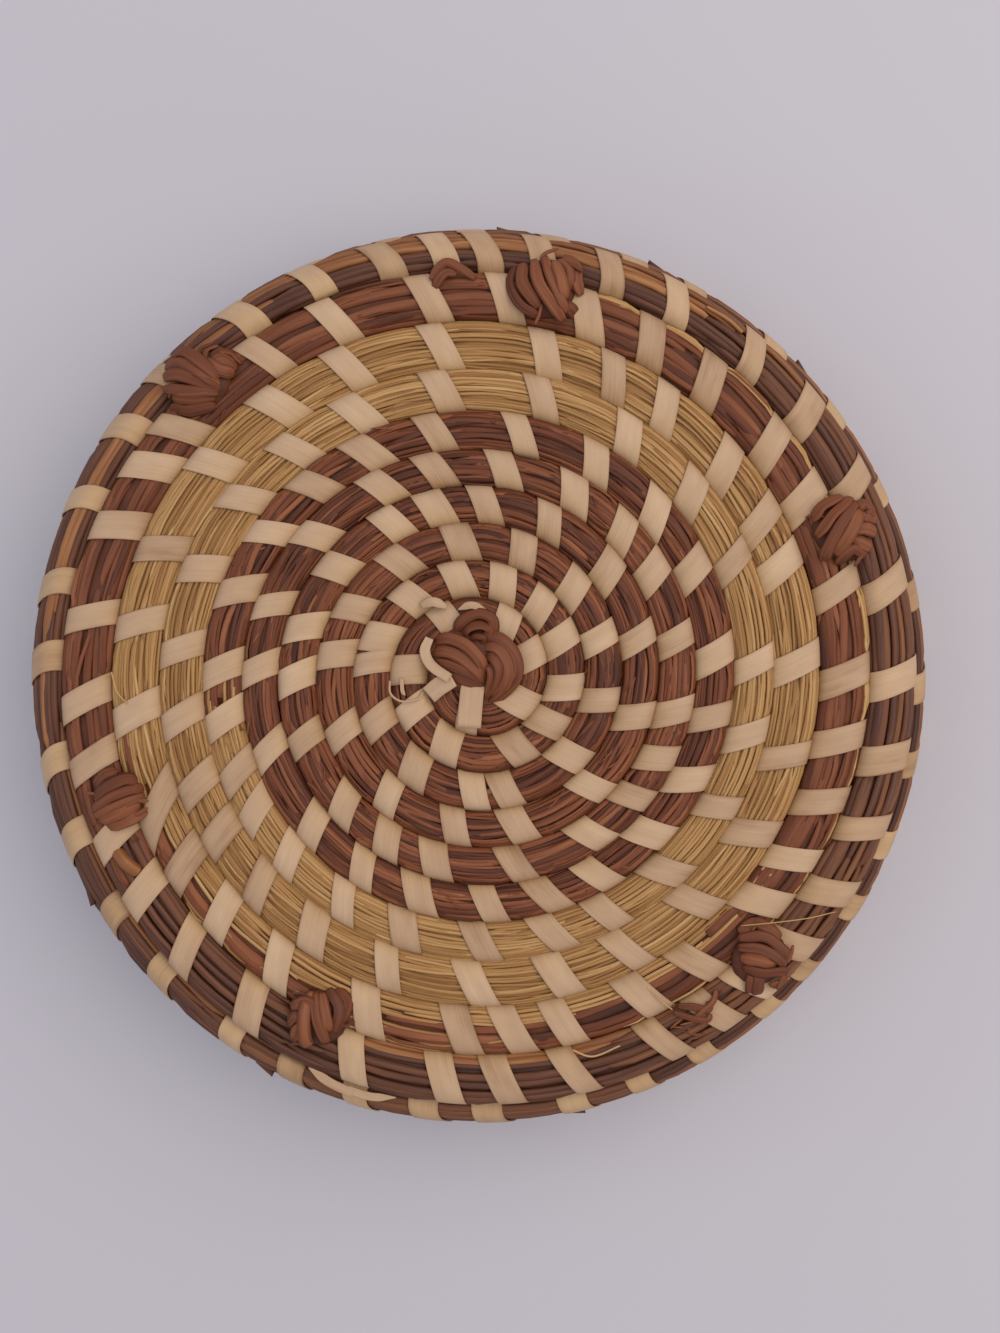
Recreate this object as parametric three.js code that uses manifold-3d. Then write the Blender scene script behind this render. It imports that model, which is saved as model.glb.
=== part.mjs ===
// A round coiled basket, lying rim down with the outside of its base uppermost.
// One cord winds outward from the centre, turns down at the shoulder and forms the wall.
// The origin is at the centre of the rim's lower plane, +Z runs up through the base.
// Lengths are in millimetres. A place along the cord is given in laps from the centre.

import * as THREE from 'three';
import Module from 'manifold-3d';

// The cord
const lapGap = 1.8;
const widestCord = 10.0;
const cordHeight = 9.0;
const innerPitch = 8.85;
const outerPitch = 9.8;
const widePitch = 11.8;
const shoulderPitch = 10.6;
const wallPitch = 9.0;
const startRadius = 7.65;

// The profile that the laps follow
const baseFlatRadius = 96.0;
const shoulderRadius = 8.5;
const wallAngle = 76;
const rimCut = 0.7;

// Places along the cord, in turns from the centre. The wall's cord is spliced at four places.
const cordStartTurns = 0.0;
const pitchChangeTurns = 6;
const widePitchTurns = 7.5;
const shoulderPitchTurns = 9.25;
const wallPitchTurns = 10.25;
const sweetgrassTurns = 6.02;
const pineBandTurns = 8.39;
const bulrushTurns = 9.07;
const wallTurns = [10.31, 11.56, 12.77, 13.81];
const rimTurns = 14.3;
const rimTailTurns = 0.6;
const rimDriftTurns = 0.3;
const rimDrift = 1.0;
const stepsPerLap = 24;
const firstLapBearing = 180;

// The strips of leaf that are sewn round the cord
const stripWidth = 6.0;
const stripThickness = 0.3;
const stripLean = 5.0;
const backSlack = 0.9;
const stitchesPerStrip = 12;
const hiddenStitchesPerLap = 26;
const lastStitchTurns = 14.68;
const notchMargin = 1.2;

// Clearances
const fitGap = 0.25;
const jointGap = 0.3;

// The pine-needle knots
const knotHeight = 5.0;
const knotDepth = 4.0;
const knotSegments = 12;
const knotLevels = 3;
const knotGap = 0.75;
const knotRoomTurns = 0.08;
const knotFinestEdge = 0.02;
const lapsUnderKnots = [7, 8, 9, 10];
const startKnotLength = 25.5;
const startKnotWidth = 19.5;
const startKnotX = -3.3;
const startKnotY = 4.5;
const stubLength = 3.0;
const stubWidth = 4.0;

// Each knot: its bearing, its distance from the centre in turns of cord, and its size as
// shares of the widest span
const knotSpan = 20.0;
const knots = [
  { bearing: 198.8, turns: 8.7, alongShare: 0.75, acrossShare: 0.68 },
  { bearing: 245, turns: 8.648, alongShare: 0.825, acrossShare: 0.8 },
  { bearing: 315, turns: 9.081, alongShare: 0.85, acrossShare: 0.75 },
  { bearing: 22, turns: 8.962, alongShare: 0.95, acrossShare: 0.85 },
  { bearing: 80, turns: 8.979, alongShare: 0.85, acrossShare: 0.85 },
  { bearing: 133, turns: 9.199, alongShare: 0.85, acrossShare: 0.8 },
];

// Bearings of the stitches in degrees, counter-clockwise, one row for each lap in sight.
// They are taken from a point a little beside the axis.
const sightX = 0.5;
const sightY = 2.8;
const sightRounds = 6;
const stitchBearings = [
  [238, 315, 5, 53, 124],
  [184, 214, 247, 293, 319, 344, 17, 44, 74, 104, 136, 165],
  [179, 209, 238, 267, 281, 314, 343, 12, 39, 69, 99, 128, 156],
  [176, 206, 235, 261, 283, 312, 341, 9, 36, 64, 88, 106, 122, 146, 168],
  [184, 203, 226, 242, 257, 280, 303, 319, 332, 346, 7, 28, 43, 61, 83, 103, 119, 142, 164],
  [181, 202, 224, 240, 255, 272, 286, 299, 315, 331, 347, 2, 24, 41, 60, 80, 101, 118, 133, 148, 163],
  [181, 192, 204, 213, 225, 240, 254, 270, 285, 297, 312, 329, 345, 0, 22, 39, 57, 77, 98, 116, 131, 145, 161],
  [177, 190, 203, 213, 225, 238, 253, 269, 284, 297, 312, 328, 343, 0, 18, 27, 39, 54, 65, 78, 97, 114, 128,
    143, 160],
  [173, 188, 204, 214, 224, 236, 252, 267, 275, 283, 296, 306, 320, 328, 338, 348, 358, 12, 27, 37, 51, 62, 73,
    86, 98, 113, 125, 142, 149, 159],
  [173, 185, 194, 205, 214, 224, 236, 252, 265, 273, 283, 296, 304, 311, 318, 327, 337, 347, 358, 11, 26, 38,
    49, 62, 72, 82, 90, 96, 104, 114, 125, 138, 147, 158],
  [170, 180, 194, 204, 215, 225, 237, 246, 255, 264, 272, 283, 292, 301, 311, 318, 328, 337, 348, 358, 10, 24,
    36, 48, 61, 70, 81, 92, 103, 114, 126, 138, 149, 160],
];

// One lap's section, across the coil and outward, as shares of the cord's width and height
const sectionShares = [[0, 0.5], [0.5, 0.2], [0.4, -0.25], [0, -0.5], [-0.4, -0.25], [-0.5, 0.2]];
const backSide = 3;
const tailHeightShare = 0.5;
const lateralShare = 1.1;
const underShare = 0.4;
const nearLapShares = [0.9, 1.1];

const degree = Math.PI / 180;
const fullTurn = 2 * Math.PI;
const clamp = THREE.MathUtils.clamp;
const lerp = THREE.MathUtils.lerp;
const slope = wallAngle * degree;
const endLap = rimTurns + rimTailTurns;

// Distance along the profile, from the axis, of the cord's centre at a place on the cord.
function profileDistance(lap) {
  const stages = [
    [0, pitchChangeTurns, innerPitch],
    [pitchChangeTurns, widePitchTurns, outerPitch],
    [widePitchTurns, shoulderPitchTurns, widePitch],
    [shoulderPitchTurns, wallPitchTurns, shoulderPitch],
    [wallPitchTurns, Infinity, wallPitch],
  ];
  let distance = startRadius;
  for (const [from, to, pitch] of stages) {
    distance += clamp(lap - from, 0, to - from) * pitch;
  }
  return distance;
}

// Radius, depth below the base and slope of the profile: flat, then an arc, then straight.
function profilePoint(distance) {
  const bend = clamp((distance - baseFlatRadius) / shoulderRadius, 0, slope);
  const straight = Math.max(distance - baseFlatRadius - shoulderRadius * slope, 0);
  const flat = Math.min(distance, baseFlatRadius);
  return {
    radius: flat + shoulderRadius * Math.sin(bend) + straight * Math.cos(slope),
    depth: shoulderRadius * (1 - Math.cos(bend)) + straight * Math.sin(slope),
    bend,
  };
}

// Width of the cord at a place: what its neighbours leave, less the gap between laps.
function cordWidth(lap) {
  const here = profileDistance(lap);
  const outside = profileDistance(lap + 1) - here;
  const inside = lap < 1 ? outside : here - profileDistance(lap - 1);
  return Math.min(inside - lapGap, outside - lapGap, widestCord);
}

// Depth of the section's lowest corner below its centre, where the rim starts.
const lowestCorner = Math.max(...sectionShares.map(
  ([a, b]) => a * cordWidth(rimTurns) * Math.sin(slope) - b * cordHeight * Math.cos(slope)));
const baseLevel = profilePoint(profileDistance(rimTurns)).depth + lowestCorner - rimCut;

// Centre and directions of the cord at a place: across, towards the next lap, and outward.
function cordFrame(lap) {
  const point = profilePoint(profileDistance(lap));
  const bearing = firstLapBearing * degree + lap * fullTurn;
  const radial = new THREE.Vector3(Math.cos(bearing), Math.sin(bearing), 0);
  const up = new THREE.Vector3(0, 0, 1);
  const across = radial.clone().multiplyScalar(Math.cos(point.bend)).addScaledVector(up, -Math.sin(point.bend));
  const out = radial.clone().multiplyScalar(Math.sin(point.bend)).addScaledVector(up, Math.cos(point.bend));
  const centre = radial.clone().multiplyScalar(point.radius);
  centre.z = baseLevel - point.depth;
  return { centre, across, out, radius: point.radius };
}

// The corners of the cord's polyline. The first run is straight for one cord height.
function cornerLaps() {
  const laps = [cordStartTurns];
  const start = cordFrame(cordStartTurns).centre;
  for (let step = 0; step / stepsPerLap < endLap; step += 1) {
    const lap = step / stepsPerLap;
    if (lap > cordStartTurns && cordFrame(lap).centre.distanceTo(start) > cordHeight) {
      laps.push(lap);
    }
  }
  laps.push(endLap);
  return laps;
}
const corners = cornerLaps();

// A section at a corner. The rim's last run thins from below the lap before it, so that
// its lower side stays level, and its tail drifts up against that lap.
function cornerSection(lap) {
  const frame = cordFrame(lap);
  if (lap === cordStartTurns) {
    const along = cordFrame(corners[1]).centre.sub(frame.centre).normalize();
    frame.across.crossVectors(along, frame.out).normalize();
  }
  const rimRun = Math.max(lap - rimTurns, 0);
  const drift = clamp((rimRun - rimDriftTurns) / (rimTailTurns - rimDriftTurns), 0, 1) * rimDrift;
  const fullWidth = cordWidth(lap);
  const low = fullWidth / 2 - rimRun * wallPitch;
  const high = -fullWidth / 2 - drift;
  const width = low - high;
  const height = cordHeight * lerp(tailHeightShare, 1, Math.min(width / fullWidth, 1));
  return sectionShares.map(([a, b]) => frame.centre.clone()
    .addScaledVector(frame.across, (low + high) / 2 + a * width)
    .addScaledVector(frame.out, b * height));
}
const cornerSections = corners.map(cornerSection);

// The section anywhere on the cord, on the straight run between two corners.
function sectionAt(lap) {
  const place = clamp(lap, corners[0], endLap);
  const found = corners.findIndex((corner) => corner >= place);
  const next = Math.max(found, 1);
  const share = (place - corners[next - 1]) / (corners[next] - corners[next - 1]);
  return cornerSections[next].map((point, side) => cornerSections[next - 1][side].clone().lerp(point, share));
}

// The two ways to split a quad into triangles.
const splitOneWay = ([a, b, c, d]) => [[a, b, c], [a, c, d]];
const splitOtherWay = ([a, b, c, d]) => [[a, b, d], [b, c, d]];

// A closed solid from rings with equal numbers of points, with a flat cap at each end. Where
// it is to bulge, each skewed quad is split along the diagonal that lies further out.
function solidFromRings(rings, bulging = false) {
  const sides = rings[0].length;
  const points = rings.flat();
  const quads = [];
  for (let ring = 0; ring + 1 < rings.length; ring += 1) {
    for (let side = 0; side < sides; side += 1) {
      const a = ring * sides + side;
      const b = ring * sides + (side + 1) % sides;
      quads.push([a, b, b + sides, a + sides]);
    }
  }
  const caps = [];
  const last = (rings.length - 1) * sides;
  for (let side = 1; side + 1 < sides; side += 1) {
    caps.push([0, side + 1, side], [last, last + side, last + side + 1]);
  }
  const volumeOf = (faces) => faces.reduce(
    (sum, [a, b, c]) => sum + points[a].dot(points[b].clone().cross(points[c])), 0);
  const sign = Math.sign(volumeOf([...quads.flatMap(splitOneWay), ...caps]));
  const fullerSplit = (quad) => {
    const gain = volumeOf(splitOtherWay(quad)) - volumeOf(splitOneWay(quad));
    return gain * sign > 0 ? splitOtherWay(quad) : splitOneWay(quad);
  };
  const faces = [...quads.flatMap(bulging ? fullerSplit : splitOneWay), ...caps];
  const outward = sign > 0 ? faces : faces.map(([a, b, c]) => [a, c, b]);
  const positions = points.flatMap((point) => [point.x, point.y, point.z]);
  const geometry = new THREE.BufferGeometry();
  geometry.setAttribute('position', new THREE.Float32BufferAttribute(positions, 3));
  geometry.setIndex(outward.flat());
  return geometry;
}

// A length of cord between two places.
function cordGeometry(from, to) {
  const between = corners.filter((corner) => corner > from && corner < to);
  return solidFromRings([from, ...between, to].map(sectionAt));
}

// Half of a length along the cord, in laps, at a place.
function halfLaps(length, lap) {
  return length / 2 / (fullTurn * cordFrame(lap).radius);
}

// Outward direction at each corner of the section, in the section's own plane.
function cornerDirections() {
  const points = sectionShares.map(([a, b]) => new THREE.Vector2(a * cordWidth(0), b * cordHeight));
  const normals = points.map((point, side) => {
    const edge = points[(side + 1) % points.length].clone().sub(point).normalize();
    return new THREE.Vector2(-edge.y, edge.x);
  });
  return points.map((point, side) => {
    const before = normals[(side + normals.length - 1) % normals.length];
    const mean = before.clone().add(normals[side]).normalize();
    return { across: mean.x, out: mean.y, reach: 1 / mean.dot(normals[side]) };
  });
}
const directions = cornerDirections();

// The strip's section where it crosses one edge of the cord: two points against the cord
// and one on the strip's crest.
function stripSection(lap, side) {
  const half = halfLaps(stripWidth, lap);
  const frame = cordFrame(lap);
  const { across, out, reach } = directions[side];
  const away = frame.across.clone().multiplyScalar(across).addScaledVector(frame.out, out);
  const left = sectionAt(lap - half)[side];
  const right = sectionAt(lap + half)[side];
  const chord = new THREE.Line3(left, right);
  let rise = 0;
  for (const corner of corners.filter((place) => Math.abs(place - lap) < half)) {
    const point = sectionAt(corner)[side];
    const offset = point.clone().sub(chord.closestPointToPoint(point, false, new THREE.Vector3()));
    const outward = offset.dot(away);
    const lateral = offset.addScaledVector(away, -outward).length();
    rise = Math.max(rise, Math.max(outward, 0) + lateral * lateralShare);
  }
  const under = fitGap * reach + rise + (side === backSide ? backSlack : 0);
  const crest = left.clone().lerp(right, 0.5).addScaledVector(away, under + stripThickness * reach);
  return [left.clone().addScaledVector(away, under), right.clone().addScaledVector(away, under), crest];
}

// Moves a point that is too low back along the line from a higher one, or else straight up.
function heldAbove(level, low, high) {
  if (low.z >= level) {
    return low;
  }
  return high.z > level ? high.clone().lerp(low, (high.z - level) / (high.z - low.z)) : low.clone().setZ(level);
}

// The place on a lap that lies at a bearing from the sight point.
function placeOfBearing(lapIndex, bearing) {
  let lap = lapIndex + (bearing - firstLapBearing) / 360;
  for (let round = 0; round < sightRounds; round += 1) {
    const { centre } = cordFrame(lap);
    const seen = Math.atan2(centre.y - sightY, centre.x - sightX);
    const error = bearing * degree - seen;
    lap += Math.atan2(Math.sin(error), Math.cos(error)) / fullTurn;
  }
  return lap;
}

// Places of all stitches, in laps. Past the last lap in sight they are evenly spaced.
function stitchPlaces() {
  const places = stitchBearings.flatMap((row, lapIndex) => row.map(
    (bearing) => placeOfBearing(lapIndex, bearing < row[0] ? bearing + 360 : bearing)));
  const step = 1 / hiddenStitchesPerLap;
  for (let lap = places[places.length - 1] + step; lap < lastStitchTurns; lap += step) {
    places.push(lap);
  }
  return places;
}
const stitches = stitchPlaces();

// Whether the cord is so low here that a strip passes through a notch in the rim.
function isLow(place) {
  return Math.min(...sectionAt(place).map((point) => point.z)) < rimCut;
}

// One strip of leaf, wound round the cord once for each of its stitches.
function stripGeometry(places) {
  const rings = [];
  places.forEach((place, index) => {
    const lean = halfLaps(stripLean, place);
    const next = places[index + 1];
    const nextStart = next ? next - halfLaps(stripLean, next) : place + 3 * lean;
    const under = isLow(place) ? place + lean : lerp(place + lean, nextStart, underShare);
    const path = [[place - lean, 5], [place, 0], [place + lean, 1], [place + lean, 2], [under, 3]];
    if (next) {
      path.push([nextStart, 4]);
    }
    const sections = path.map(([lap, side]) => stripSection(lap, side));
    const levels = [fitGap + stripThickness, fitGap + stripThickness, fitGap];
    sections[2] = sections[2].map((point, corner) => heldAbove(levels[corner], point, sections[1][corner]));
    sections[3] = sections[3].map((point, corner) => heldAbove(levels[corner], point, sections[4][corner]));
    sections[4].forEach((point, corner) => point.setZ(Math.max(point.z, levels[corner])));
    rings.push(...sections);
  });
  return solidFromRings(rings, true);
}

// The least distance from a length of cord to its own next lap, on points of its edges.
function leastGapToItself(from, to) {
  const samples = [];
  const pointsPerStep = 3;
  for (let lap = from; lap <= to; lap += 1 / stepsPerLap / pointsPerStep) {
    const section = sectionAt(lap);
    section.forEach((point, side) => {
      const nextPoint = section[(side + 1) % section.length];
      samples.push({ lap, point }, { lap, point: point.clone().lerp(nextPoint, 0.5) });
    });
  }
  let least = Infinity;
  for (const one of samples) {
    for (const other of samples) {
      const apart = other.lap - one.lap;
      if (apart > nearLapShares[0] && apart < nearLapShares[1]) {
        least = Math.min(least, one.point.distanceTo(other.point));
      }
    }
  }
  return least;
}

const wasm = await Module();
wasm.setup();

function toManifold(geometry) {
  return new wasm.Manifold(new wasm.Mesh({
    numProp: 3,
    vertProperties: new Float32Array(geometry.getAttribute('position').array),
    triVerts: new Uint32Array(geometry.getIndex().array),
  }));
}

function fromManifold(solid) {
  const mesh = solid.getMesh();
  const geometry = new THREE.BufferGeometry();
  geometry.setAttribute('position', new THREE.Float32BufferAttribute(mesh.vertProperties, 3));
  geometry.setIndex([...mesh.triVerts]);
  return geometry;
}

// A box with merged corners, turned and placed.
function boxSolid(length, width, height, placing) {
  const half = [length / 2, width / 2, height / 2];
  const end = (x) => [[-1, -1], [1, -1], [1, 1], [-1, 1]].map(
    ([y, z]) => new THREE.Vector3(x, y * half[1], z * half[2]).applyMatrix4(placing));
  return toManifold(solidFromRings([end(-half[0]), end(half[0])]));
}

// A rounded knot, long along x. It reaches up by its height and down by its depth.
function roundSolid(length, width, height, depth, placing) {
  const rings = [];
  for (let level = depth > 0 ? 1 - knotLevels : 0; level < knotLevels; level += 1) {
    const rise = level / knotLevels * Math.PI / 2;
    const ring = [];
    for (let side = 0; side < knotSegments; side += 1) {
      const turned = side / knotSegments * fullTurn;
      const x = length / 2 * Math.cos(rise) * Math.cos(turned);
      const y = width / 2 * Math.cos(rise) * Math.sin(turned);
      const z = (rise < 0 ? depth : height) * Math.sin(rise);
      ring.push(new THREE.Vector3(x, y, z).applyMatrix4(placing));
    }
    rings.push(ring);
  }
  return toManifold(solidFromRings(rings));
}

// Room that the cord and its strips take up near a knot, on the laps inside and outside it.
function roomForCord(lap) {
  const swell = fitGap + stripThickness + knotGap;
  const half = knotRoomTurns / 2;
  const places = [lap - half, ...corners.filter((corner) => Math.abs(corner - lap) < half), lap + half];
  return toManifold(solidFromRings(places.map((place) => {
    const frame = cordFrame(place);
    return sectionAt(place).map((point, side) => point
      .addScaledVector(frame.across, directions[side].across * directions[side].reach * swell)
      .addScaledVector(frame.out, directions[side].out * directions[side].reach * swell));
  })));
}

// A knot is seated on the coil: its underside follows the laps that it covers.
function knotGeometry({ bearing, turns, alongShare, acrossShare }) {
  const { radius, depth, bend } = profilePoint(profileDistance(turns));
  const placing = new THREE.Matrix4().makeRotationZ(bearing * degree)
    .multiply(new THREE.Matrix4().makeTranslation(radius, 0, baseLevel - depth))
    .multiply(new THREE.Matrix4().makeRotationY(bend))
    .multiply(new THREE.Matrix4().makeTranslation(0, 0, cordHeight / 2));
  let solid = roundSolid(acrossShare * knotSpan, alongShare * knotSpan, knotHeight, knotDepth, placing);
  const turned = (((bearing - firstLapBearing) % 360) + 360) % 360 / 360;
  for (const lap of lapsUnderKnots) {
    solid = solid.subtract(roomForCord(lap + turned));
  }
  const bodies = solid.decompose().sort((one, other) => other.volume() - one.volume());
  return fromManifold(bodies[0].simplify(knotFinestEdge));
}

// The knot that the cord starts from: a dome over the centre, and a stub that the cord's
// first end meets squarely.
function startKnotGeometry() {
  const knotSeat = cordHeight / 2 + (fitGap + stripThickness) * directions[0].reach + 2 * jointGap;
  const dome = roundSolid(startKnotLength, startKnotWidth, knotHeight, 0,
    new THREE.Matrix4().makeTranslation(startKnotX, startKnotY, baseLevel + knotSeat));
  const start = cordFrame(cordStartTurns).centre;
  const along = cordFrame(corners[1]).centre.sub(start).normalize();
  const middle = start.addScaledVector(along, -(jointGap + stubLength / 2));
  const depth = cordHeight / 2 + knotSeat + knotHeight / 2;
  const placing = new THREE.Matrix4()
    .makeTranslation(middle.x, middle.y, baseLevel - cordHeight / 2 + depth / 2)
    .multiply(new THREE.Matrix4().makeRotationZ(Math.atan2(along.y, along.x)));
  return fromManifold(dome.add(boxSolid(stubLength, stubWidth, depth, placing)));
}

// The wall's cord: level below, with a shallow notch where each strip passes under the rim.
function wallCordGeometry(from, to) {
  let solid = toManifold(cordGeometry(from, to));
  const reach = 4 * cordHeight;
  const span = 2 * cordFrame(endLap).radius + reach;
  const floor = new THREE.Matrix4().makeTranslation(0, 0, -reach / 2);
  solid = solid.subtract(boxSolid(span, span, reach, floor));
  for (const place of stitches.filter(isLow)) {
    const lean = halfLaps(stripLean, place);
    const bearing = firstLapBearing * degree + (place + lean) * fullTurn;
    const placing = new THREE.Matrix4().makeRotationZ(bearing)
      .multiply(new THREE.Matrix4().makeTranslation(cordFrame(place).radius, 0, 0));
    const width = stripWidth + 2 * notchMargin;
    const depth = 2 * (fitGap + stripThickness + jointGap);
    solid = solid.subtract(boxSolid(reach, width, depth, placing));
  }
  return fromManifold(solid);
}

const materials = {
  pineNeedle: new THREE.MeshStandardMaterial({ color: 0x7a4a35, roughness: 0.55, metalness: 0 }),
  sweetgrass: new THREE.MeshStandardMaterial({ color: 0xb3915a, roughness: 0.6, metalness: 0 }),
  bulrush: new THREE.MeshStandardMaterial({ color: 0x76553f, roughness: 0.5, metalness: 0 }),
  palmetto: new THREE.MeshStandardMaterial({ color: 0xcbb389, roughness: 0.5, metalness: 0 }),
};

const basket = new THREE.Group();
basket.name = 'coiled_basket';

function addPiece(name, geometry, material) {
  geometry.computeVertexNormals();
  const mesh = new THREE.Mesh(geometry, material);
  mesh.name = name;
  basket.add(mesh);
}

// The cord's lengths by material, end to end. Consecutive lengths keep a small gap.
const cordLengths = [
  { name: 'pine_centre_coil', from: cordStartTurns, to: sweetgrassTurns, material: materials.pineNeedle },
  { name: 'sweetgrass_coil', from: sweetgrassTurns, to: pineBandTurns, material: materials.sweetgrass },
  { name: 'pine_band_coil', from: pineBandTurns, to: bulrushTurns, material: materials.pineNeedle },
  { name: 'bulrush_shoulder_coil', from: bulrushTurns, to: wallTurns[0], material: materials.bulrush },
  { name: 'bulrush_wall_coil_1', from: wallTurns[0], to: wallTurns[1], material: materials.bulrush },
  { name: 'bulrush_wall_coil_2', from: wallTurns[1], to: wallTurns[2], material: materials.bulrush },
  { name: 'bulrush_wall_coil_3', from: wallTurns[2], to: wallTurns[3], material: materials.bulrush },
  { name: 'bulrush_rim_coil', from: wallTurns[3], to: endLap, material: materials.bulrush },
];

// The place halfway along the straight run that holds a given place, so that ends are square.
function middleOfRun(lap) {
  const found = corners.findIndex((corner) => corner > lap);
  return (corners[found - 1] + corners[found]) / 2;
}

for (const { name, from, to, material } of cordLengths) {
  const begin = from === cordStartTurns ? from : middleOfRun(from) + halfLaps(jointGap, from);
  const end = to === endLap ? to : middleOfRun(to) - halfLaps(jointGap, to);
  const geometry = to === endLap ? wallCordGeometry(begin, end) : cordGeometry(begin, end);
  addPiece(name, geometry, material);
  const gap = leastGapToItself(begin, end);
  if (Number.isFinite(gap)) {
    console.log(`${name}: least gap to itself ${gap.toFixed(2)} mm`);
  }
}

addPiece('start_knot', startKnotGeometry(), materials.pineNeedle);
knots.forEach((knot, index) => {
  addPiece(`pine_knot_${index + 1}`, knotGeometry(knot), materials.pineNeedle);
});

for (let first = 0, number = 1; first < stitches.length; first += stitchesPerStrip, number += 1) {
  const name = `palmetto_strip_${String(number).padStart(2, '0')}`;
  addPiece(name, stripGeometry(stitches.slice(first, first + stitchesPerStrip)), materials.palmetto);
}

export default basket;
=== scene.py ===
"""Looks of a round coiled basket that lies rim down, with the outside of its base uppermost.

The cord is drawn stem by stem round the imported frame's own spiral: pine needles, sweetgrass,
pine needles again, then bulrush. Strips of palmetto leaf are sewn round it, and knots of
needles sit on the centre and on the shoulder. Lengths are in millimetres until a mesh is made.
A lap is a place along the cord, counted in laps from the centre. A turn is an angle round the
cord's section in radians: 0 faces away from the axis, and pi / 2 faces out of the basket.
"""

import math
from dataclasses import dataclass

import bpy
import numpy as np
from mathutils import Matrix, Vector


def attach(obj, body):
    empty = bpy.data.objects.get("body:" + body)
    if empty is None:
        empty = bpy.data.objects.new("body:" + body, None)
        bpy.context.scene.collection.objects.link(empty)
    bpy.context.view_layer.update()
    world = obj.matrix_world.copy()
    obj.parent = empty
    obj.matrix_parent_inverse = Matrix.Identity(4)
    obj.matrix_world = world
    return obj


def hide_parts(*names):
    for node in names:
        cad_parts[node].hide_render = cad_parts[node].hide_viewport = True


MM = 0.001
TAU = 2 * math.pi

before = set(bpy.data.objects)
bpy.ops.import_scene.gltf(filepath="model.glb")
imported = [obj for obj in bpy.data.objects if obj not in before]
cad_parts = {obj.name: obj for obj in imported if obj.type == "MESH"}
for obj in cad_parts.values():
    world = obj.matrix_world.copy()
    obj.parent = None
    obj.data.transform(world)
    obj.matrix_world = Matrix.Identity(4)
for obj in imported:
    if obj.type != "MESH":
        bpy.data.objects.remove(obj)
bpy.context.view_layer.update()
rng = np.random.default_rng(7)
uniform = rng.uniform

# The cord's path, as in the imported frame
START_RADIUS = 7.65
PITCH_STAGES = [(0, 6, 8.85), (6, 7.5, 9.8), (7.5, 9.25, 11.8), (9.25, 10.25, 10.6),
                (10.25, math.inf, 9.0)]
WALL_PITCH = 9.0
BASE_FLAT_RADIUS = 96.0
SHOULDER_RADIUS = 8.5
WALL_ANGLE = math.radians(76)
BASE_LEVEL = 44.25
RIM_LAP = 14.3
END_LAP = 14.9
RIM_DRIFT_LAPS = 0.3  # after this much of the rim, its underside moves by RIM_DRIFT
RIM_DRIFT = 1.0
PROFILE_REACH = 120.0  # how far over_coil looks for a radius, and in what steps
PROFILE_STEP = 0.25

# The cord's section
HALF_HEIGHT = 4.5
TOP = BASE_LEVEL + HALF_HEIGHT
SIDE_OVERLAP = 0.2
SECTION_POWER = 2.6  # 2 is an ellipse, more is squarer
TAIL_HEIGHT_SHARE = 0.5  # the height that is left where the rim has thinned to nothing
CORE_SIDES = 16
CORE_STEP = 3.0
CORE_PRESSED = 0.4  # how much deeper it lies under a strip

# Single stems, and the loose needles: strays cross the coil, and frays and stubs stand off it
STEM_FLOOR = 0.35
STEM_ROLL = 0.3
STEM_SCATTER = 0.2  # in stems
STEM_SIZES = (0.75, 1.2)
STEM_RISES = (-0.4, 1.0)  # in the plant's rise
STEM_OVERLAP = 6.0
STEM_DRIFT = 1.5  # in the plant's sway
LEAST_REST = 0.3  # a shorter rest of a cord is added to the stem before it
LEAST_RUN = 1e-4  # in laps
SWAY_WAVES = (110, 47, 23)
RISE_WAVES = (70, 31)
TUCK_LENGTH = 9.0  # a tucked end sinks in and thins over this length
TUCK_DEPTH = 1.6
TUCK_THINNING = 0.5
RIB_DEPTH = 0.3
THREAD_SIDES = 8
STRAY_LENGTHS = (14, 46)
STRAY_START = 0.3
STRAY_SPACINGS = (0.4, 1.6)
STRAY_TURNS = (0.1 * math.pi, 0.9 * math.pi)
STRAY_DRIFTS = (-0.5, 0.5)
STRAY_RAISED = 0.6
FRAY_HALF_WIDE = 0.45
FRAY_HALF_THICK = 0.3
FRAY_ROOT = 0.5
FRAY_SIDES = 6
FRAY_POINTS = 7
TUFT_REACH = 2.5
# Ranges for frays, alone and in a tuft: turns in pi, lengths, leans either way, lifts and tones
FRAY_RANGES = ((0.2, 0.85), (4, 9), 0.5, (0.0, 0.8), (0.4, 1.0))
TUFT_RANGES = ((0.3, 0.7), (4, 8), 0.8, (0.3, 1.5), (0.5, 1.0))
STUB_LENGTH = 5.0
STUB_TURN = 0.42 * math.pi
STUB_HALF_WIDE = 1.1
STUB_HALF_THICK = 0.9
STUB_TONE = 0.25
STUB_DEPTH = 0.9  # its root lies this deep, and it rises by STUB_RISE
STUB_RISE = 1.2

# The leaf strips
LEAF_WIDTH = 6.7
LEAF_THICKNESS = 0.26
LEAF_LIFT = -0.1  # its underside, over the cord's outside
LEAF_CROWN = 0.05
LEAF_UNEVEN = 0.16
LEAF_LEAN = 5.0
LEAN_RADII = (8.0, 60.0)
LEAN_SHARES = (0.2, 1.05)
LEAF_FLOOR = 0.02
LEAF_LEAST_RADIUS = 3.0  # a strip nearer the axis is fanned as if it lay here
FIRST_STITCH_WIDTH = 5.4
SLANTED_STITCH_LAP = 8.0625
SLANTED_STITCH_LEAN = 0.012
SLANTED_STITCH_WIDTH = 8.8
NARROW_STITCH_LAPS = (1.96, 2.0)
NARROW_STITCH_WIDTH = 5.6
LEAF_AROUND = 26  # rows of points for each stitch
LEAF_COLUMNS = np.array([-1.0, -0.93, -0.4, 0.4, 0.93, 1.0])
LEAF_ACROSS = len(LEAF_COLUMNS)
STITCHES_PER_STRIP = 12
BEARING_ROUNDS = 6
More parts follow.
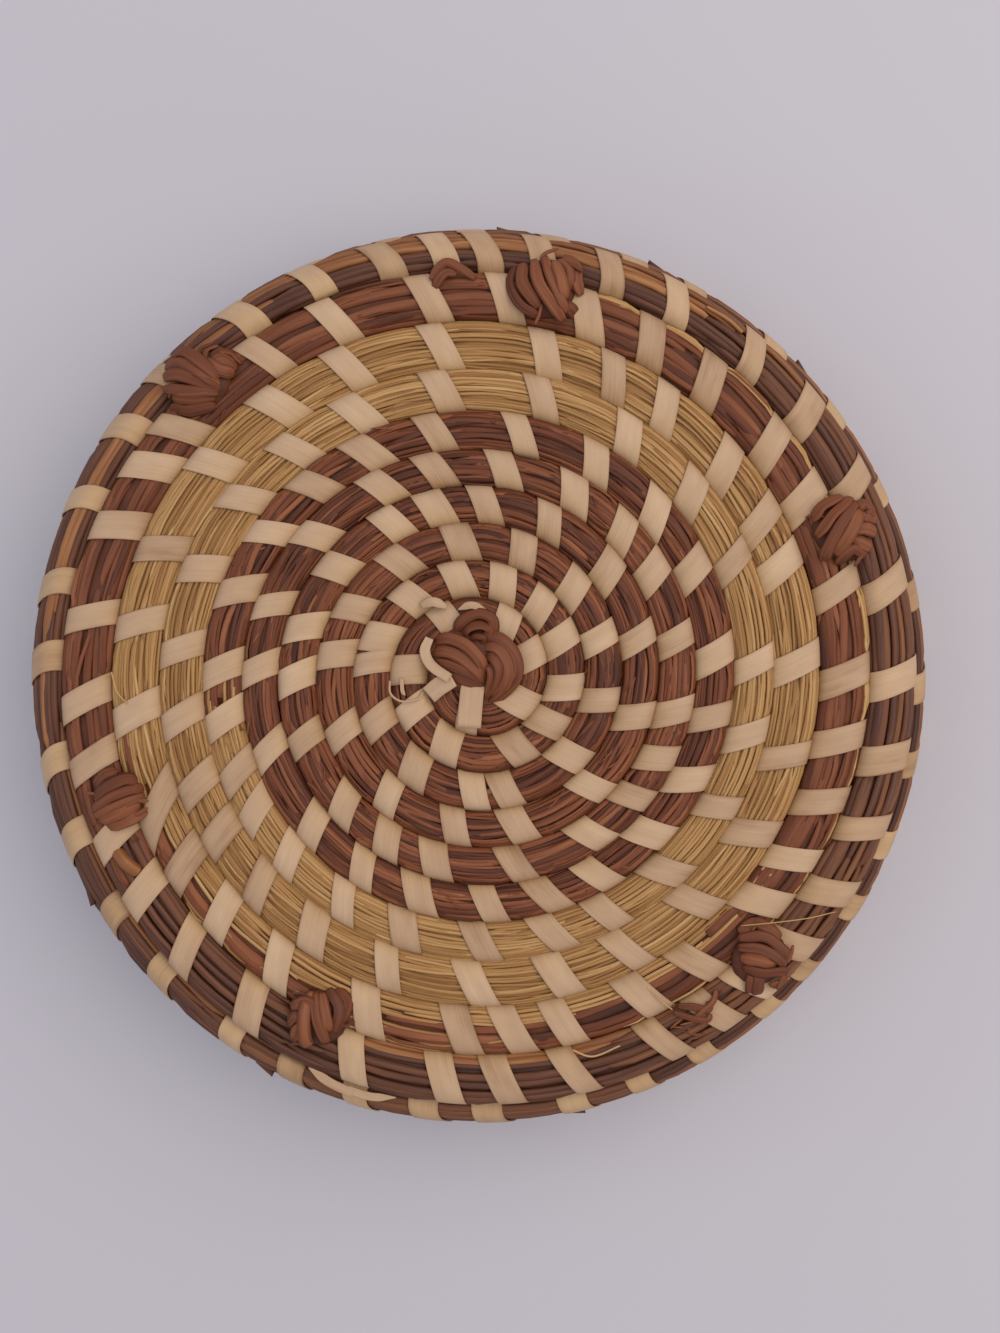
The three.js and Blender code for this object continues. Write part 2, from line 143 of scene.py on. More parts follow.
HIDDEN_STITCHES_PER_LAP = 26
LAST_STITCH_LAP = 14.68
LAST_STITCH_RUN = 2.6  # where the last stitch comes up again, in leans
PRESS_MARGIN = 0.6  # a strip presses this far past its sides, and then less and less
PRESS_EDGE = 0.3
PRESSED_DEPTH = 0.22
LOOSE_LEAF_POINTS = 16

# The knots' bands of needles
KNOT_HEIGHT = 4.8
KNOT_SPIKES = 3
KNOT_SUNK = 0.7
KNOT_LAYER = 0.2  # each band lies this much over the one before it
KNOT_CENTRE_DEPTH = 9.0  # its bands face away from a point this far below it
MOUND_SHARE = 0.84
MOUND_BELOW = 1.8
MOUND_SUNK = 0.5
MOUND_DEPTH = 3.0
# The mound's tone is painted shade, dark in the gaps between the knot's bands.
MOUND_SHADE_TONE = 0.1
MOUND_SIDES = 18
MOUND_LEVELS = 11
BAND_WIDTH = 2.95
BAND_ROLL = 0.3
BAND_COUNT = 24
BAND_SIDES = 24
BAND_RIBS = 8
BAND_RIB_DEPTH = 0.16
BAND_SQUARE = 0.55
BAND_FIBRE = 4.0
SPIKE_SHARES = (0.5, 0.85, 1.1)  # its three points, as shares of the knot's half size
SPIKE_LIFTS = (2.2, 2.0)
SPIKE_TIP_LIFTS = (1.4, 2.2)
SPIKE_WIDTHS = (0.6, 1.2)
SPIKE_THICK = 0.25
SPIKE_POINT = 0.3

# Where the stitches in sight lie: bearings in degrees, seen from a point beside the axis
SIGHT_X = 0.5
SIGHT_Y = 2.8
STITCH_BEARINGS = [
    [256, 315, 8, 56, 126],
    [184, 214, 247, 293, 319, 344, 17, 44, 74, 104, 136, 165],
    [179, 209, 238, 267, 281, 314, 343, 12, 39, 69, 99, 128, 156],
    [176, 206, 235, 261, 283, 312, 341, 9, 36, 64, 88, 106, 122, 146, 168],
    [184, 203, 226, 242, 257, 280, 303, 319, 332, 346, 7, 28, 43, 61, 83, 103, 119, 142, 164],
    [181, 202, 224, 240, 255, 272, 286, 299, 315, 331, 347, 2, 24, 41, 60, 80, 101, 118, 133,
     148, 163],
    [181, 192, 204, 213, 225, 240, 254, 270, 285, 297, 312, 329, 345, 0, 22, 39, 57, 77, 98,
     116, 131, 145, 161],
    [177, 190, 203, 213, 225, 238, 253, 269, 284, 297, 312, 328, 343, 0, 18, 27, 39, 54, 65,
     78, 97, 114, 128, 143, 160],
    [173, 188, 204, 214, 224, 236, 252, 267, 275, 283, 296, 306, 320, 328, 338, 348, 358, 12,
     27, 37, 51, 62, 73, 86, 98, 113, 125, 142, 149, 159],
    [173, 185, 194, 205, 214, 224, 236, 252, 265, 273, 283, 296, 304, 311, 318, 327, 337, 347,
     358, 11, 26, 38, 49, 62, 72, 82, 90, 96, 104, 114, 125, 138, 147, 158],
    [170, 180, 194, 204, 215, 225, 237, 246, 255, 264, 272, 283, 292, 301, 311, 318, 328, 337,
     348, 358, 10, 24, 36, 48, 61, 70, 81, 92, 103, 114, 126, 138, 149, 160],
]


# ---- the cord's path
def profile_distance(lap):
    """Distance along the profile, from the axis, of the cord's centre."""
    lap = np.asarray(lap, float)
    distance = np.full(lap.shape, START_RADIUS)
    for start, end, pitch in PITCH_STAGES:
        distance = distance + np.clip(lap - start, 0, end - start) * pitch
    return distance


def profile_point(distance):
    """Radius, depth below the base and slope of the profile: flat, then an arc, then straight."""
    bend = np.clip((distance - BASE_FLAT_RADIUS) / SHOULDER_RADIUS, 0, WALL_ANGLE)
    straight = np.maximum(distance - BASE_FLAT_RADIUS - SHOULDER_RADIUS * WALL_ANGLE, 0)
    flat = np.minimum(distance, BASE_FLAT_RADIUS)
    radius = flat + SHOULDER_RADIUS * np.sin(bend) + straight * math.cos(WALL_ANGLE)
    depth = SHOULDER_RADIUS * (1 - np.cos(bend)) + straight * math.sin(WALL_ANGLE)
    return radius, depth, bend


def place_at(distance, bearing):
    """Centre and directions at a distance along the profile and a bearing in radians."""
    radius, depth, bend = profile_point(distance)
    radial = np.stack([np.cos(bearing), np.sin(bearing), np.zeros_like(bearing)], -1)
    up = np.array([0.0, 0.0, 1.0])
    cos_bend, sin_bend = np.cos(bend)[..., None], np.sin(bend)[..., None]
    across = radial * cos_bend - up * sin_bend
    out = radial * sin_bend + up * cos_bend
    centre = radial * radius[..., None] + up * (BASE_LEVEL - depth)[..., None]
    return centre, across, out


def cord_at(lap):
    return place_at(profile_distance(lap), math.pi + lap * TAU)


def cord_radius(lap):
    return profile_point(profile_distance(lap))[0]


def arc_at(lap):
    """Length of a whole lap of the cord at a place."""
    return TAU * float(cord_radius(lap))


def wrapped(angle):
    """An angle brought to between minus a half turn and a half turn."""
    return math.atan2(math.sin(angle), math.cos(angle))


def lap_at(lap_index, bearing):
    """A place on a lap by its bearing from the axis in degrees. Laps start at 180 degrees."""
    return lap_index + ((bearing - 180) % 360) / 360


def section_size(lap):
    """Half width, half height and sideways shift of the cord's section, which thins at the rim."""
    here = profile_distance(lap)
    outside = profile_distance(lap + 1) - here
    inside = np.where(lap < 1, outside, here - profile_distance(np.maximum(lap - 1, 0)))
    full = np.maximum(inside, outside) + 2 * SIDE_OVERLAP
    rim_run = np.maximum(lap - RIM_LAP, 0)
    tail = END_LAP - RIM_LAP
    drift = np.clip((rim_run - RIM_DRIFT_LAPS) / (tail - RIM_DRIFT_LAPS), 0, 1) * RIM_DRIFT
    low = full / 2 - rim_run * WALL_PITCH
    high = -full / 2 - drift
    width = low - high
    share = TAIL_HEIGHT_SHARE + (1 - TAIL_HEIGHT_SHARE) * np.minimum(width / full, 1)
    return width / 2, HALF_HEIGHT * share, (low + high) / 2


# ---- the stitches
def place_of_bearing(lap_index, bearing):
    """The place on a lap that lies at a bearing from the sight point."""
    lap = lap_index + (bearing - 180) / 360
    for _ in range(BEARING_ROUNDS):
        centre = cord_at(np.array([lap]))[0][0]
        seen = math.atan2(centre[1] - SIGHT_Y, centre[0] - SIGHT_X)
        lap += wrapped(math.radians(bearing) - seen) / TAU
    return lap


def stitch_places():
    """Every stitch, by its bearing where it is in sight, and then evenly to the rim."""
    places = []
    for lap_index, row in enumerate(STITCH_BEARINGS):
        for bearing in row:
            turned = bearing + 360 if bearing < row[0] else bearing
            places.append(place_of_bearing(lap_index, turned))
    step = 1 / HIDDEN_STITCHES_PER_LAP
    while places[-1] + step < LAST_STITCH_LAP:
        places.append(places[-1] + step)
    return np.array(places)


stitches = stitch_places()
stitch_radius = cord_radius(stitches)
stitch_width = LEAF_WIDTH * uniform(0.9, 1.12, len(stitches))
lean_share = np.interp(stitch_radius, LEAN_RADII, LEAN_SHARES)
lean_share = lean_share * uniform(0.8, 1.15, len(stitches))
stitch_lean = LEAF_LEAN * lean_share / 2 / (TAU * stitch_radius)
stitch_width[0] = FIRST_STITCH_WIDTH
slanted_stitch = np.argmin(np.abs(stitches - SLANTED_STITCH_LAP))
stitch_lean[slanted_stitch] = SLANTED_STITCH_LEAN
stitch_width[slanted_stitch] = SLANTED_STITCH_WIDTH
for lap in NARROW_STITCH_LAPS:
    stitch_width[np.argmin(np.abs(stitches - lap))] = NARROW_STITCH_WIDTH


def signed_power(wave, power):
    return np.sign(wave) * np.abs(wave) ** power


def squared(wave):
    """A cosine or sine, flattened to the cord's squarish section."""
    return signed_power(wave, 2 / SECTION_POWER)


def pressed_at(lap, turn):
    """How far the nearest strip presses on a place of the section, from 0 to 1."""
    lap, turn = np.broadcast_arrays(lap, turn)
    index = np.clip(np.searchsorted(stitches, lap), 1, len(stitches) - 1)
    pressed = np.zeros(lap.shape)
    arc = TAU * cord_radius(lap)
    for step in (-2, -1, 0, 1):
        i = np.clip(index + step, 0, len(stitches) - 1)
        j = np.clip(i + 1, 0, len(stitches) - 1)
        front = stitches[i] + stitch_lean[i] * squared(np.cos(turn))
        share = (1 - np.cos(turn)) / 2
        back = (stitches[i] + stitch_lean[i]) * (1 - share) + (stitches[j] - stitch_lean[j]) * share
        middle = np.where(np.sin(turn) >= 0, front, back)
        apart = np.abs(lap - middle) * arc - stitch_width[i] / 2 - PRESS_MARGIN
        pressed = np.maximum(pressed, 1 / (1 + np.exp(np.clip(apart / PRESS_EDGE, -30, 30))))
    return pressed


def on_section(lap, turn, depth):
    """Points at an angle round the cord's section, at a depth below its outside, with normals."""
    lap, turn, depth = np.broadcast_arrays(lap, turn, depth)
    centre, across, out = cord_at(lap)
    half_width, half_height, shift = section_size(lap)
    cosine, sine = np.cos(turn), np.sin(turn)
    x = shift + (half_width - depth) * squared(cosine)
    y = (half_height - depth) * squared(sine)
    slope_x = cosine / half_width
    slope_y = sine / half_height
    length = np.hypot(slope_x, slope_y)
    normal = across * (slope_x / length)[..., None] + out * (slope_y / length)[..., None]
    side = out * (slope_x / length)[..., None] - across * (slope_y / length)[..., None]
    return centre + across * x[..., None] + out * y[..., None], normal, side


# ---- meshes
def add_object(name, data):
    holder = bpy.data.objects.new(name, data)
    bpy.context.scene.collection.objects.link(holder)
    return holder


def with_values(data, **values):
    for name, value in values.items():
        setattr(data, name, value)
    return data


class Shape:
    """Gathers tubes of points into one mesh, with a tone, painted shade and a grain for each point.

    Nothing added to it lies lower than its floor.
    """

    def __init__(self, floor=-math.inf):
        self.floor = floor
        self.points, self.faces, self.count = [], [], 0
        self.values = {"tone": [], "dive_shade": [], "grain": []}

    def add_grid(self, points, tone, grain, dive_shade=0.0):
        """A tube of rows by columns of points, with both its ends closed."""
        rows, columns = points.shape[:2]
        index = np.arange(rows * columns).reshape(rows, columns) + self.count
        beside = np.roll(index, -1, axis=1)
        quads = np.stack([index[:-1], beside[:-1], beside[1:], index[1:]], -1)
        self.faces.append(quads.reshape(-1, 4))
        self.cap(index[0, ::-1])
        self.cap(index[-1])
        self.points.append(points.reshape(-1, 3))
        self.values["tone"].append(np.broadcast_to(tone, (rows, columns)).reshape(-1))
        self.values["dive_shade"].append(np.broadcast_to(dive_shade, (rows, columns)).reshape(-1))
        self.values["grain"].append(grain.reshape(-1, 3))
        self.count += rows * columns

    def cap(self, ring):
        """Closes a ring with quads, and a triangle (its last corner twice) if one is left."""
        low, high = 0, len(ring) - 1
        while high - low >= 2:
            third = max(high - 1, low + 2)
            self.faces.append(np.array([[ring[low], ring[low + 1], ring[third], ring[high]]]))
            low, high = low + 1, high - 1

    def make(self, name, material):
        quads = np.concatenate(self.faces).tolist()
        faces = [quad[:3] if quad[2] == quad[3] else quad for quad in quads]
        mesh = bpy.data.meshes.new(name)
        mesh.from_pydata((np.concatenate(self.points) * MM).tolist(), [], faces, shade_flat=False)
        for attribute, rows in self.values.items():
            values = np.concatenate(rows).astype(np.float32)
            kind, field = ("FLOAT", "value") if values.ndim == 1 else ("FLOAT_VECTOR", "vector")
            layer = mesh.attributes.new(attribute, kind, "POINT")
            layer.data.foreach_set(field, values.ravel())
        mesh.materials.append(material)
        return add_object(name, mesh)


def grain_of(along, across, offset=0.0):
    """The grain of a grid: along its fibres, across them, and an offset of its own."""
    return np.stack(np.broadcast_arrays(along[:, None], across[None, :], offset), -1)


def unit(vectors):
    return vectors / np.linalg.norm(vectors, axis=1)[:, None]


def run_of(line):
    """How far along a line each of its points lies."""
    return np.concatenate([[0], np.cumsum(np.linalg.norm(np.diff(line, axis=0), axis=1))])


def smooth_line(points, count):
    """A smooth line through given points, by Catmull-Rom pieces."""
    points = np.asarray(points, float)
    padded = np.vstack([2 * points[0] - points[1], points, 2 * points[-1] - points[-2]])
    where = np.linspace(0, len(points) - 1, count)
    piece = np.minimum(where.astype(int), len(points) - 2)
    t = (where - piece)[:, None]
    p0, p1, p2, p3 = (padded[piece + step] for step in range(4))
    return 0.5 * (2 * p1 + (p2 - p0) * t + (2 * p0 - 5 * p1 + 4 * p2 - p3) * t ** 2
                  + (3 * p1 - p0 - 3 * p2 + p3) * t ** 3)


def wander(length_along, waves, scale):
    """A smooth random value along a line, from a few waves of random phase."""
    total = np.zeros_like(length_along)
    for wave in waves:
        total += np.sin(length_along / wave * TAU + uniform(0, TAU)) * uniform(0.4, 1.0)
    return total * scale / len(waves)


def rolled(centres, thick_way, wide_way, most):
    """The same path, with its two directions turned about it by up to an angle."""
    roll = uniform(-most, most)
    cosine, sine = math.cos(roll), math.sin(roll)
    return (centres, thick_way * cosine - wide_way * sine, wide_way * cosine + thick_way * sine)


def level_path(line):
    """A line with the direction that faces up from it and the level one across it."""
    tangent = np.gradient(line, axis=0)
    side = unit(np.cross(tangent, [0.0, 0.0, 1.0]))
    return line, unit(np.cross(side, tangent)), side


def over_coil(bearing, radius, lift):
    """A point at a height over the coil's outside."""
    distances = np.arange(0, PROFILE_REACH, PROFILE_STEP)
    centre, _, out = place_at(distances, np.zeros_like(distances))
    radii = centre[:, 0] + out[:, 0] * (HALF_HEIGHT + lift)
    distance = np.array([np.interp(radius, radii, distances)])
    centre, _, out = place_at(distance, np.array([math.radians(bearing)]))
    return centre[0] + out[0] * (HALF_HEIGHT + lift)


def line_over_coil(points, count):
    return smooth_line([over_coil(*point) for point in points], count)


def add_tube(shape, path, half_wide, half_thick, tone, sides, start_along=0.0, ribs=0,
             fibre=1.0, square=1.0, rib_depth=RIB_DEPTH):
    """A stem along a path: its centres, and the ways that it is thick and wide at each of them.

    ribs gives it grooves along its length, and fibre makes its grain finer. A square below 1
    makes its section less round.
    """
    centres, thick_way, wide_way = path
    count = len(centres)
    angle = np.arange(sides) / sides * TAU
    groove = 1 - rib_depth * (1 - np.cos(ribs * angle)) / 2
    cosine = signed_power(np.cos(angle), square) * groove
    sine = signed_power(np.sin(angle), square) * groove
    wide = np.broadcast_to(half_wide, (count,))[:, None, None]
    thick = np.broadcast_to(half_thick, (count,))[:, None, None]
    ring = (centres[:, None, :]
            + wide_way[:, None, :] * cosine[None, :, None] * wide
            + thick_way[:, None, :] * sine[None, :, None] * thick)
    ring[..., 2] += np.maximum(shape.floor - ring[..., 2].min(axis=1), 0)[:, None]
    along = start_along + run_of(centres)
    shape.add_grid(ring, tone, grain_of(along, angle / TAU * fibre, uniform(0, 100)))


# ---- stems of the cord
@dataclass
class Plant:
    """How one plant's stems lie in the cord. depth and rise are below and above its outside."""

    stems: int
    half_wide: float
    half_thick: float
    depth: float
    length: tuple
    step: float
    sides: int
    ribs: int
    sway: float
    rise: float
    tones: tuple
    # The core's tone is painted shade: how dark the cord's inside shows between the stems.
    core_depth: float
    core_shade_tone: float


PINE = Plant(stems=32, half_wide=0.74, half_thick=0.38, depth=0.36, length=(60, 150), step=2.4,
             sides=10, ribs=3, sway=0.13, rise=0.3, tones=(0.0, 1.0),
             core_depth=0.65, core_shade_tone=0.2)
PINE_CLUMPS = Plant(stems=20, half_wide=1.25, half_thick=0.5, depth=0.48, length=(60, 160),
                    step=2.6, sides=14, ribs=5, sway=0.09, rise=0.26, tones=(0.25, 0.95),
                    core_depth=0.7, core_shade_tone=0.15)
GRASS = Plant(stems=56, half_wide=0.42, half_thick=0.36, depth=0.34, length=(90, 220), step=3.4,
              sides=6, ribs=0, sway=0.08, rise=0.2, tones=(0.15, 0.95),
              core_depth=0.5, core_shade_tone=0.3)
RUSH = Plant(stems=18, half_wide=1.0, half_thick=0.85, depth=0.78, length=(200, 480), step=4.5,
             sides=9, ribs=0, sway=0.05, rise=0.2, tones=(0.1, 0.75),
             core_depth=1.3, core_shade_tone=0.0)


def stem_turns(plant):
    """Where each stem of a plant starts round the section, one after another."""
    for stem in range(plant.stems):
        yield (stem + uniform(-STEM_SCATTER, STEM_SCATTER)) / plant.stems * TAU


def add_stems(shape, plant, first_lap, last_lap, begin=None, end=None):
    """Fills a length of cord with stems that follow one another round its outside.

    begin and end may move a stem's own first or last place by its angle on the section.
    """
    for turn in stem_turns(plant):
        from_lap = first_lap if begin is None else begin(turn)
        to_lap = last_lap if end is None else end(turn)
        lap = from_lap
        while lap < to_lap - LEAST_RUN:
            arc = arc_at(lap)
            reach = uniform(*plant.length) / arc
            stop = min(lap + reach, to_lap)
            if to_lap - stop < LEAST_REST * reach:
                stop = to_lap
            add_stem(shape, plant, lap, stop, turn, uniform(*plant.tones),
                     lap > from_lap, stop < to_lap)
            lap = stop - STEM_OVERLAP / arc if stop < to_lap else stop


def add_stem(shape, plant, lap, stop, turn, tone, tucked_start, tucked_end,
             drift=None, raised=0.0):
    """One stem. It drifts round the section, and strips press it down."""
    arc = arc_at((lap + stop) / 2)
    length = (stop - lap) * arc
    count = max(int(length / plant.step), 3) + 1
    laps = np.linspace(lap, stop, count)
    along = (laps - lap) * arc
    if drift is None:
        drift = uniform(-1, 1) * plant.sway * STEM_DRIFT
    turns = turn + wander(along, SWAY_WAVES, plant.sway) + drift * along / max(length, 1)
    depth = plant.depth - raised - plant.rise * uniform(*STEM_RISES)
    depth = depth + wander(along, RISE_WAVES, plant.rise * 0.5)
    size = uniform(*STEM_SIZES)
    pressed = pressed_at(laps, turns)
    depth = depth + pressed * np.maximum(plant.half_thick * size + PRESSED_DEPTH - depth, 0)
    taper = np.ones(count)
    for tucked, run in ((tucked_start, along), (tucked_end, length - along)):
        if tucked:
            tuck = np.clip(1 - run / TUCK_LENGTH, 0, 1)
            depth = depth + tuck ** 2 * TUCK_DEPTH
            taper = np.minimum(taper, 1 - TUCK_THINNING * tuck)
    path = rolled(*on_section(laps, turns, depth), STEM_ROLL)
    add_tube(shape, path, plant.half_wide * size * taper, plant.half_thick * size * taper, tone,
             plant.sides, uniform(0, 500), plant.ribs)


def add_strays(shape, plant, first_lap, last_lap, spacing):
    """Stems that cross over their neighbours on the outside of the coil."""
    lap = max(first_lap, STRAY_START)
    while True:
        arc = arc_at(lap)
        lap += spacing * uniform(*STRAY_SPACINGS) / arc
        reach = uniform(*STRAY_LENGTHS) / arc
        if lap + reach > last_lap:
            return
        add_stem(shape, plant, lap, lap + reach, uniform(*STRAY_TURNS), uniform(*plant.tones),
                 True, True, uniform(*STRAY_DRIFTS), plant.half_thick * STRAY_RAISED)


def add_fray(shape, lap, ranges, towards=None):
    """A short broken needle that stands off the coil, unless a strip lies there."""
    turns, lengths, leans, lifts, tones = ranges
    turn, length = uniform(*turns) * math.pi, uniform(*lengths)
    if towards is None:
        towards = rng.choice((0, math.pi))
    lean = towards + uniform(-leans, leans)
    lift, tone = uniform(*lifts), uniform(*tones)
    arc = arc_at(lap)
    share = np.linspace(0, 1, FRAY_POINTS)
    laps = lap + share * length * math.cos(lean) / arc
    turns = turn + share * length * math.sin(lean) / HALF_HEIGHT
    if pressed_at(laps, turns).max() > 0.5:
        return
    path = on_section(laps, turns, FRAY_ROOT - (FRAY_ROOT + lift) * share ** 1.5)
    add_tube(shape, path, FRAY_HALF_WIDE * (1 - 0.75 * share ** 2),
             FRAY_HALF_THICK * (1 - 0.6 * share ** 2), tone, FRAY_SIDES, uniform(0, 500))


def add_frays(shape, first_lap, last_lap, count):
    for _ in range(count):
        lap = first_lap + (last_lap - first_lap) * math.sqrt(uniform(0, 1))
        add_fray(shape, lap, FRAY_RANGES)


def add_tuft(shape, bearing, radius, count):
    """Several broken needles that stand off the coil together, by a bearing in degrees."""
    laps = lap_at(np.arange(12), bearing)
    lap = laps[np.argmin(np.abs(cord_radius(laps) - radius))]
    arc = arc_at(lap)
    towards = rng.choice((0, math.pi))
    for _ in range(count):
        place = lap + uniform(-TUFT_REACH, TUFT_REACH) / arc
        add_fray(shape, place, TUFT_RANGES, towards)


def add_thread(shape, points, half, tone):
    """A thin loose stem through points over the coil."""
    add_tube(shape, level_path(line_over_coil(points, BAND_COUNT)), half, half, tone,
             THREAD_SIDES)


def add_core(shape, plant, first_lap, last_lap):
    """The inside of the cord, toned dark as painted shade that shows between the stems."""
    arc = arc_at((first_lap + last_lap) / 2)
    count = int((last_lap - first_lap) * arc / CORE_STEP) + 2
    laps = np.linspace(first_lap, last_lap, count)
    turns = np.arange(CORE_SIDES) / CORE_SIDES * TAU
    across_laps, round_turns = laps[:, None], turns[None, :]
    depth = plant.core_depth + CORE_PRESSED * pressed_at(across_laps, round_turns)
    points = on_section(across_laps, round_turns, depth)[0]
    points[..., 2] = np.maximum(points[..., 2], shape.floor + plant.core_depth)
    shape.add_grid(points, plant.core_shade_tone, grain_of(laps * arc, turns / TAU))


# ---- leaf strips
def leaf_path(places, widths, leans):
    """Lap, turn and width of a strip's middle line, once round the cord for each stitch."""
    laps, turns, wide = [], [], []
    steps = np.arange(LEAF_AROUND) / LEAF_AROUND
    front = steps[steps < 0.5] * 2
    back = (steps[steps >= 0.5] - 0.5) * 2
    ease = (1 - np.cos(math.pi * back)) / 2
    for index, (place, width, lean) in enumerate(zip(places, widths, leans)):
        if index + 1 < len(places):
            next_place, next_width, next_lean = (
                values[index + 1] for values in (places, widths, leans))
        else:
            next_place, next_width, next_lean = place + LAST_STITCH_RUN * lean, width, lean
        angle = math.pi * (1 - front)
        laps.append(place + lean * squared(np.cos(angle)))
        laps.append((place + lean) * (1 - ease) + (next_place - next_lean) * ease)
        turns += [angle, -math.pi * back]
        wide += [np.full(len(front), width), width * (1 - ease) + next_width * ease]
    return np.concatenate(laps), np.concatenate(turns), np.concatenate(wide)


def add_strip(shape, over, under, middle, offset, tone, dive_shade=0.0):
    """A thin strip of leaf between its upper and its lower points."""
    grid = np.concatenate([over, under[:, ::-1]], axis=1)
    across = np.concatenate([LEAF_COLUMNS, LEAF_COLUMNS[::-1]])
    shape.add_grid(grid, tone, grain_of(run_of(middle), across, offset), dive_shade)


def add_leaf(shape, first, last):
    """One strip of leaf: a thin flat band, wound round the cord at stitches first to last."""
    places = stitches[first:last]
    laps, turns, wide = leaf_path(places, stitch_width[first:last], stitch_lean[first:last])
    count = len(laps)
    middle = on_section(laps, turns, 0.0)[0]
    arc = TAU * np.maximum(np.hypot(middle[:, 0], middle[:, 1]), LEAF_LEAST_RADIUS)
    cross_laps = laps[:, None] + LEAF_COLUMNS[None, :] * (wide / 2 / arc)[:, None]
    cross_turns = np.broadcast_to(turns[:, None], cross_laps.shape)
    tones = np.repeat(uniform(0, 1, len(places)), LEAF_AROUND)[:count]
    uneven = uniform(0, LEAF_UNEVEN, len(places))
    lifts = np.interp(np.arange(count), (np.arange(len(places)) + 0.25) * LEAF_AROUND, uneven)
    crown = LEAF_CROWN * (1 - LEAF_COLUMNS ** 2)
    lift = LEAF_LIFT + lifts[:, None] + crown[None, :]
    under, normal, _ = on_section(cross_laps, cross_turns, -lift)
    over = under + normal * LEAF_THICKNESS
    over[..., 2] = np.maximum(over[..., 2], shape.floor)
    under[..., 2] = np.maximum(under[..., 2], shape.floor + LEAF_THICKNESS)
    # Painted shade: the strip is darker and yellower on the inner side, where it dives between
    # laps.
    inner_side_shade = np.clip((0.15 - np.cos(turns)) / 1.1, 0, 1)[:, None]
    add_strip(shape, over, under, over[:, LEAF_ACROSS // 2], uniform(0, 100),
              tones[:, None], inner_side_shade * uniform(0.4, 1.0))


def add_loose_leaf(shape, points, width, first_share, last_share):
    """A short flat piece of leaf through points over the coil."""
    line, facing, side = level_path(line_over_coil(points, LOOSE_LEAF_POINTS))
    half = width / 2 * np.interp(np.linspace(0, 1, LOOSE_LEAF_POINTS), (0, 0.3, 0.7, 1),
                                 (first_share, 1, 1, last_share))
    under = line[:, None] + side[:, None] * (LEAF_COLUMNS[None, :] * half[:, None])[..., None]
    over = under + facing[:, None] * LEAF_THICKNESS
    add_strip(shape, over, under, line, uniform(0, 100), uniform(0.2, 0.8))


# ---- knots
def add_band(shape, points, outward, width, tone, thick=0.4, point=0.55):
    """A flat smooth bundle of needles along a line. outward says which way it faces.

    point is its width at the ends, as a share.
    """
    line = smooth_line(points, BAND_COUNT)
    tangent = unit(np.gradient(line, axis=0))
    facing = outward(line)
    facing = unit(facing - tangent * (facing * tangent).sum(1)[:, None])
    line, facing, side = rolled(line, facing, np.cross(tangent, facing), BAND_ROLL)
    share = np.linspace(0, 1, BAND_COUNT)
    ends = np.minimum(np.sin(share * math.pi) * 1.8, 1) ** 0.6
    size = point + (1 - point) * ends + wander(share * 20, (19, 8), 0.07)
    line = line + facing * wander(share * 20, (21, 9), 0.12)[:, None]
    add_tube(shape, (line, facing, side), width / 2 * size, thick * (0.6 + 0.4 * ends), tone,
             BAND_SIDES, uniform(0, 500), BAND_RIBS, BAND_FIBRE, BAND_SQUARE, BAND_RIB_DEPTH)


def away_from(centre):
    """Directions away from a point below a knot."""
    return lambda line: unit(line - np.asarray(centre, float))


def add_mound(shape, centre, half_x, half_y, height, depth, turned=0.0, tone=0.0):
    """The rounded heart of a knot under its bands, toned dark as painted shade between them."""
    levels = np.linspace(-1, 1, MOUND_LEVELS)
    angle = np.arange(MOUND_SIDES) / MOUND_SIDES * TAU
    rise = levels * math.pi / 2 * 0.98
    wide = np.cos(rise)[:, None]
    x, y = half_x * wide * np.cos(angle)[None, :], half_y * wide * np.sin(angle)[None, :]
    tall = np.where(levels > 0, height, depth) * np.sin(rise)
    c, s = math.cos(turned), math.sin(turned)
    points = np.stack([x * c - y * s, x * s + y * c, np.broadcast_to(tall[:, None], x.shape)], -1)
    grain = grain_of(levels * 4, angle / TAU)
    shape.add_grid(points + np.asarray(centre, float), tone, grain)


def add_spike(shape, middle, up, outward, half_size, tone):
    """The free end of a needle that stands out of a knot."""
    way = uniform(0, TAU)
    spread = way + uniform(-0.5, 0.5)
    lifts = (*SPIKE_LIFTS, uniform(*SPIKE_TIP_LIFTS))
    points = [middle + half_size * share * np.array([math.cos(angle), math.sin(angle), 0])
              + up * lift for share, angle, lift in zip(SPIKE_SHARES, (way, way, spread), lifts)]
    add_band(shape, points, outward, uniform(*SPIKE_WIDTHS), tone, SPIKE_THICK, SPIKE_POINT)


def add_shoulder_knot(shape, bearing, lap, half_across, half_along, bands):
    """Bands of needles that wrap over one another on a low mound."""
    angle = math.radians(bearing)
    centre, _, out = place_at(profile_distance(np.array([lap])), np.array([angle]))
    up = out[0]
    middle = centre[0] + up * HALF_HEIGHT
    add_mound(shape, middle - up * MOUND_SUNK, half_across * MOUND_SHARE,
              half_along * MOUND_SHARE, KNOT_HEIGHT - MOUND_BELOW, MOUND_DEPTH, angle, MOUND_SHADE_TONE)
    c, s = math.cos(angle), math.sin(angle)
    outward = away_from(middle - up * KNOT_CENTRE_DEPTH)
    for number, points in enumerate(bands):
        line = smooth_line(points, 9)
        across = (line[:, 0] * c + line[:, 1] * s) / half_across
        along = (line[:, 1] * c - line[:, 0] * s) / half_along
        inside = np.clip(1 - 0.9 * (across ** 2 + along ** 2), 0.0, 1)
        ends = np.sin(np.linspace(0.02, 0.98, len(line)) * math.pi) ** 0.4
        rise = (KNOT_HEIGHT - 1.0) * np.sqrt(inside) * (0.35 + 0.65 * ends)
        rise = rise + KNOT_LAYER * number - KNOT_SUNK
        raised = middle + np.column_stack([line, np.zeros(len(line))]) + up * rise[:, None]
        tone = uniform(0.4, 0.85)
        add_band(shape, raised, outward, BAND_WIDTH * uniform(0.85, 1.15), tone)
    for _ in range(KNOT_SPIKES):
        add_spike(shape, middle, up, outward, half_across, uniform(0.3, 0.9))


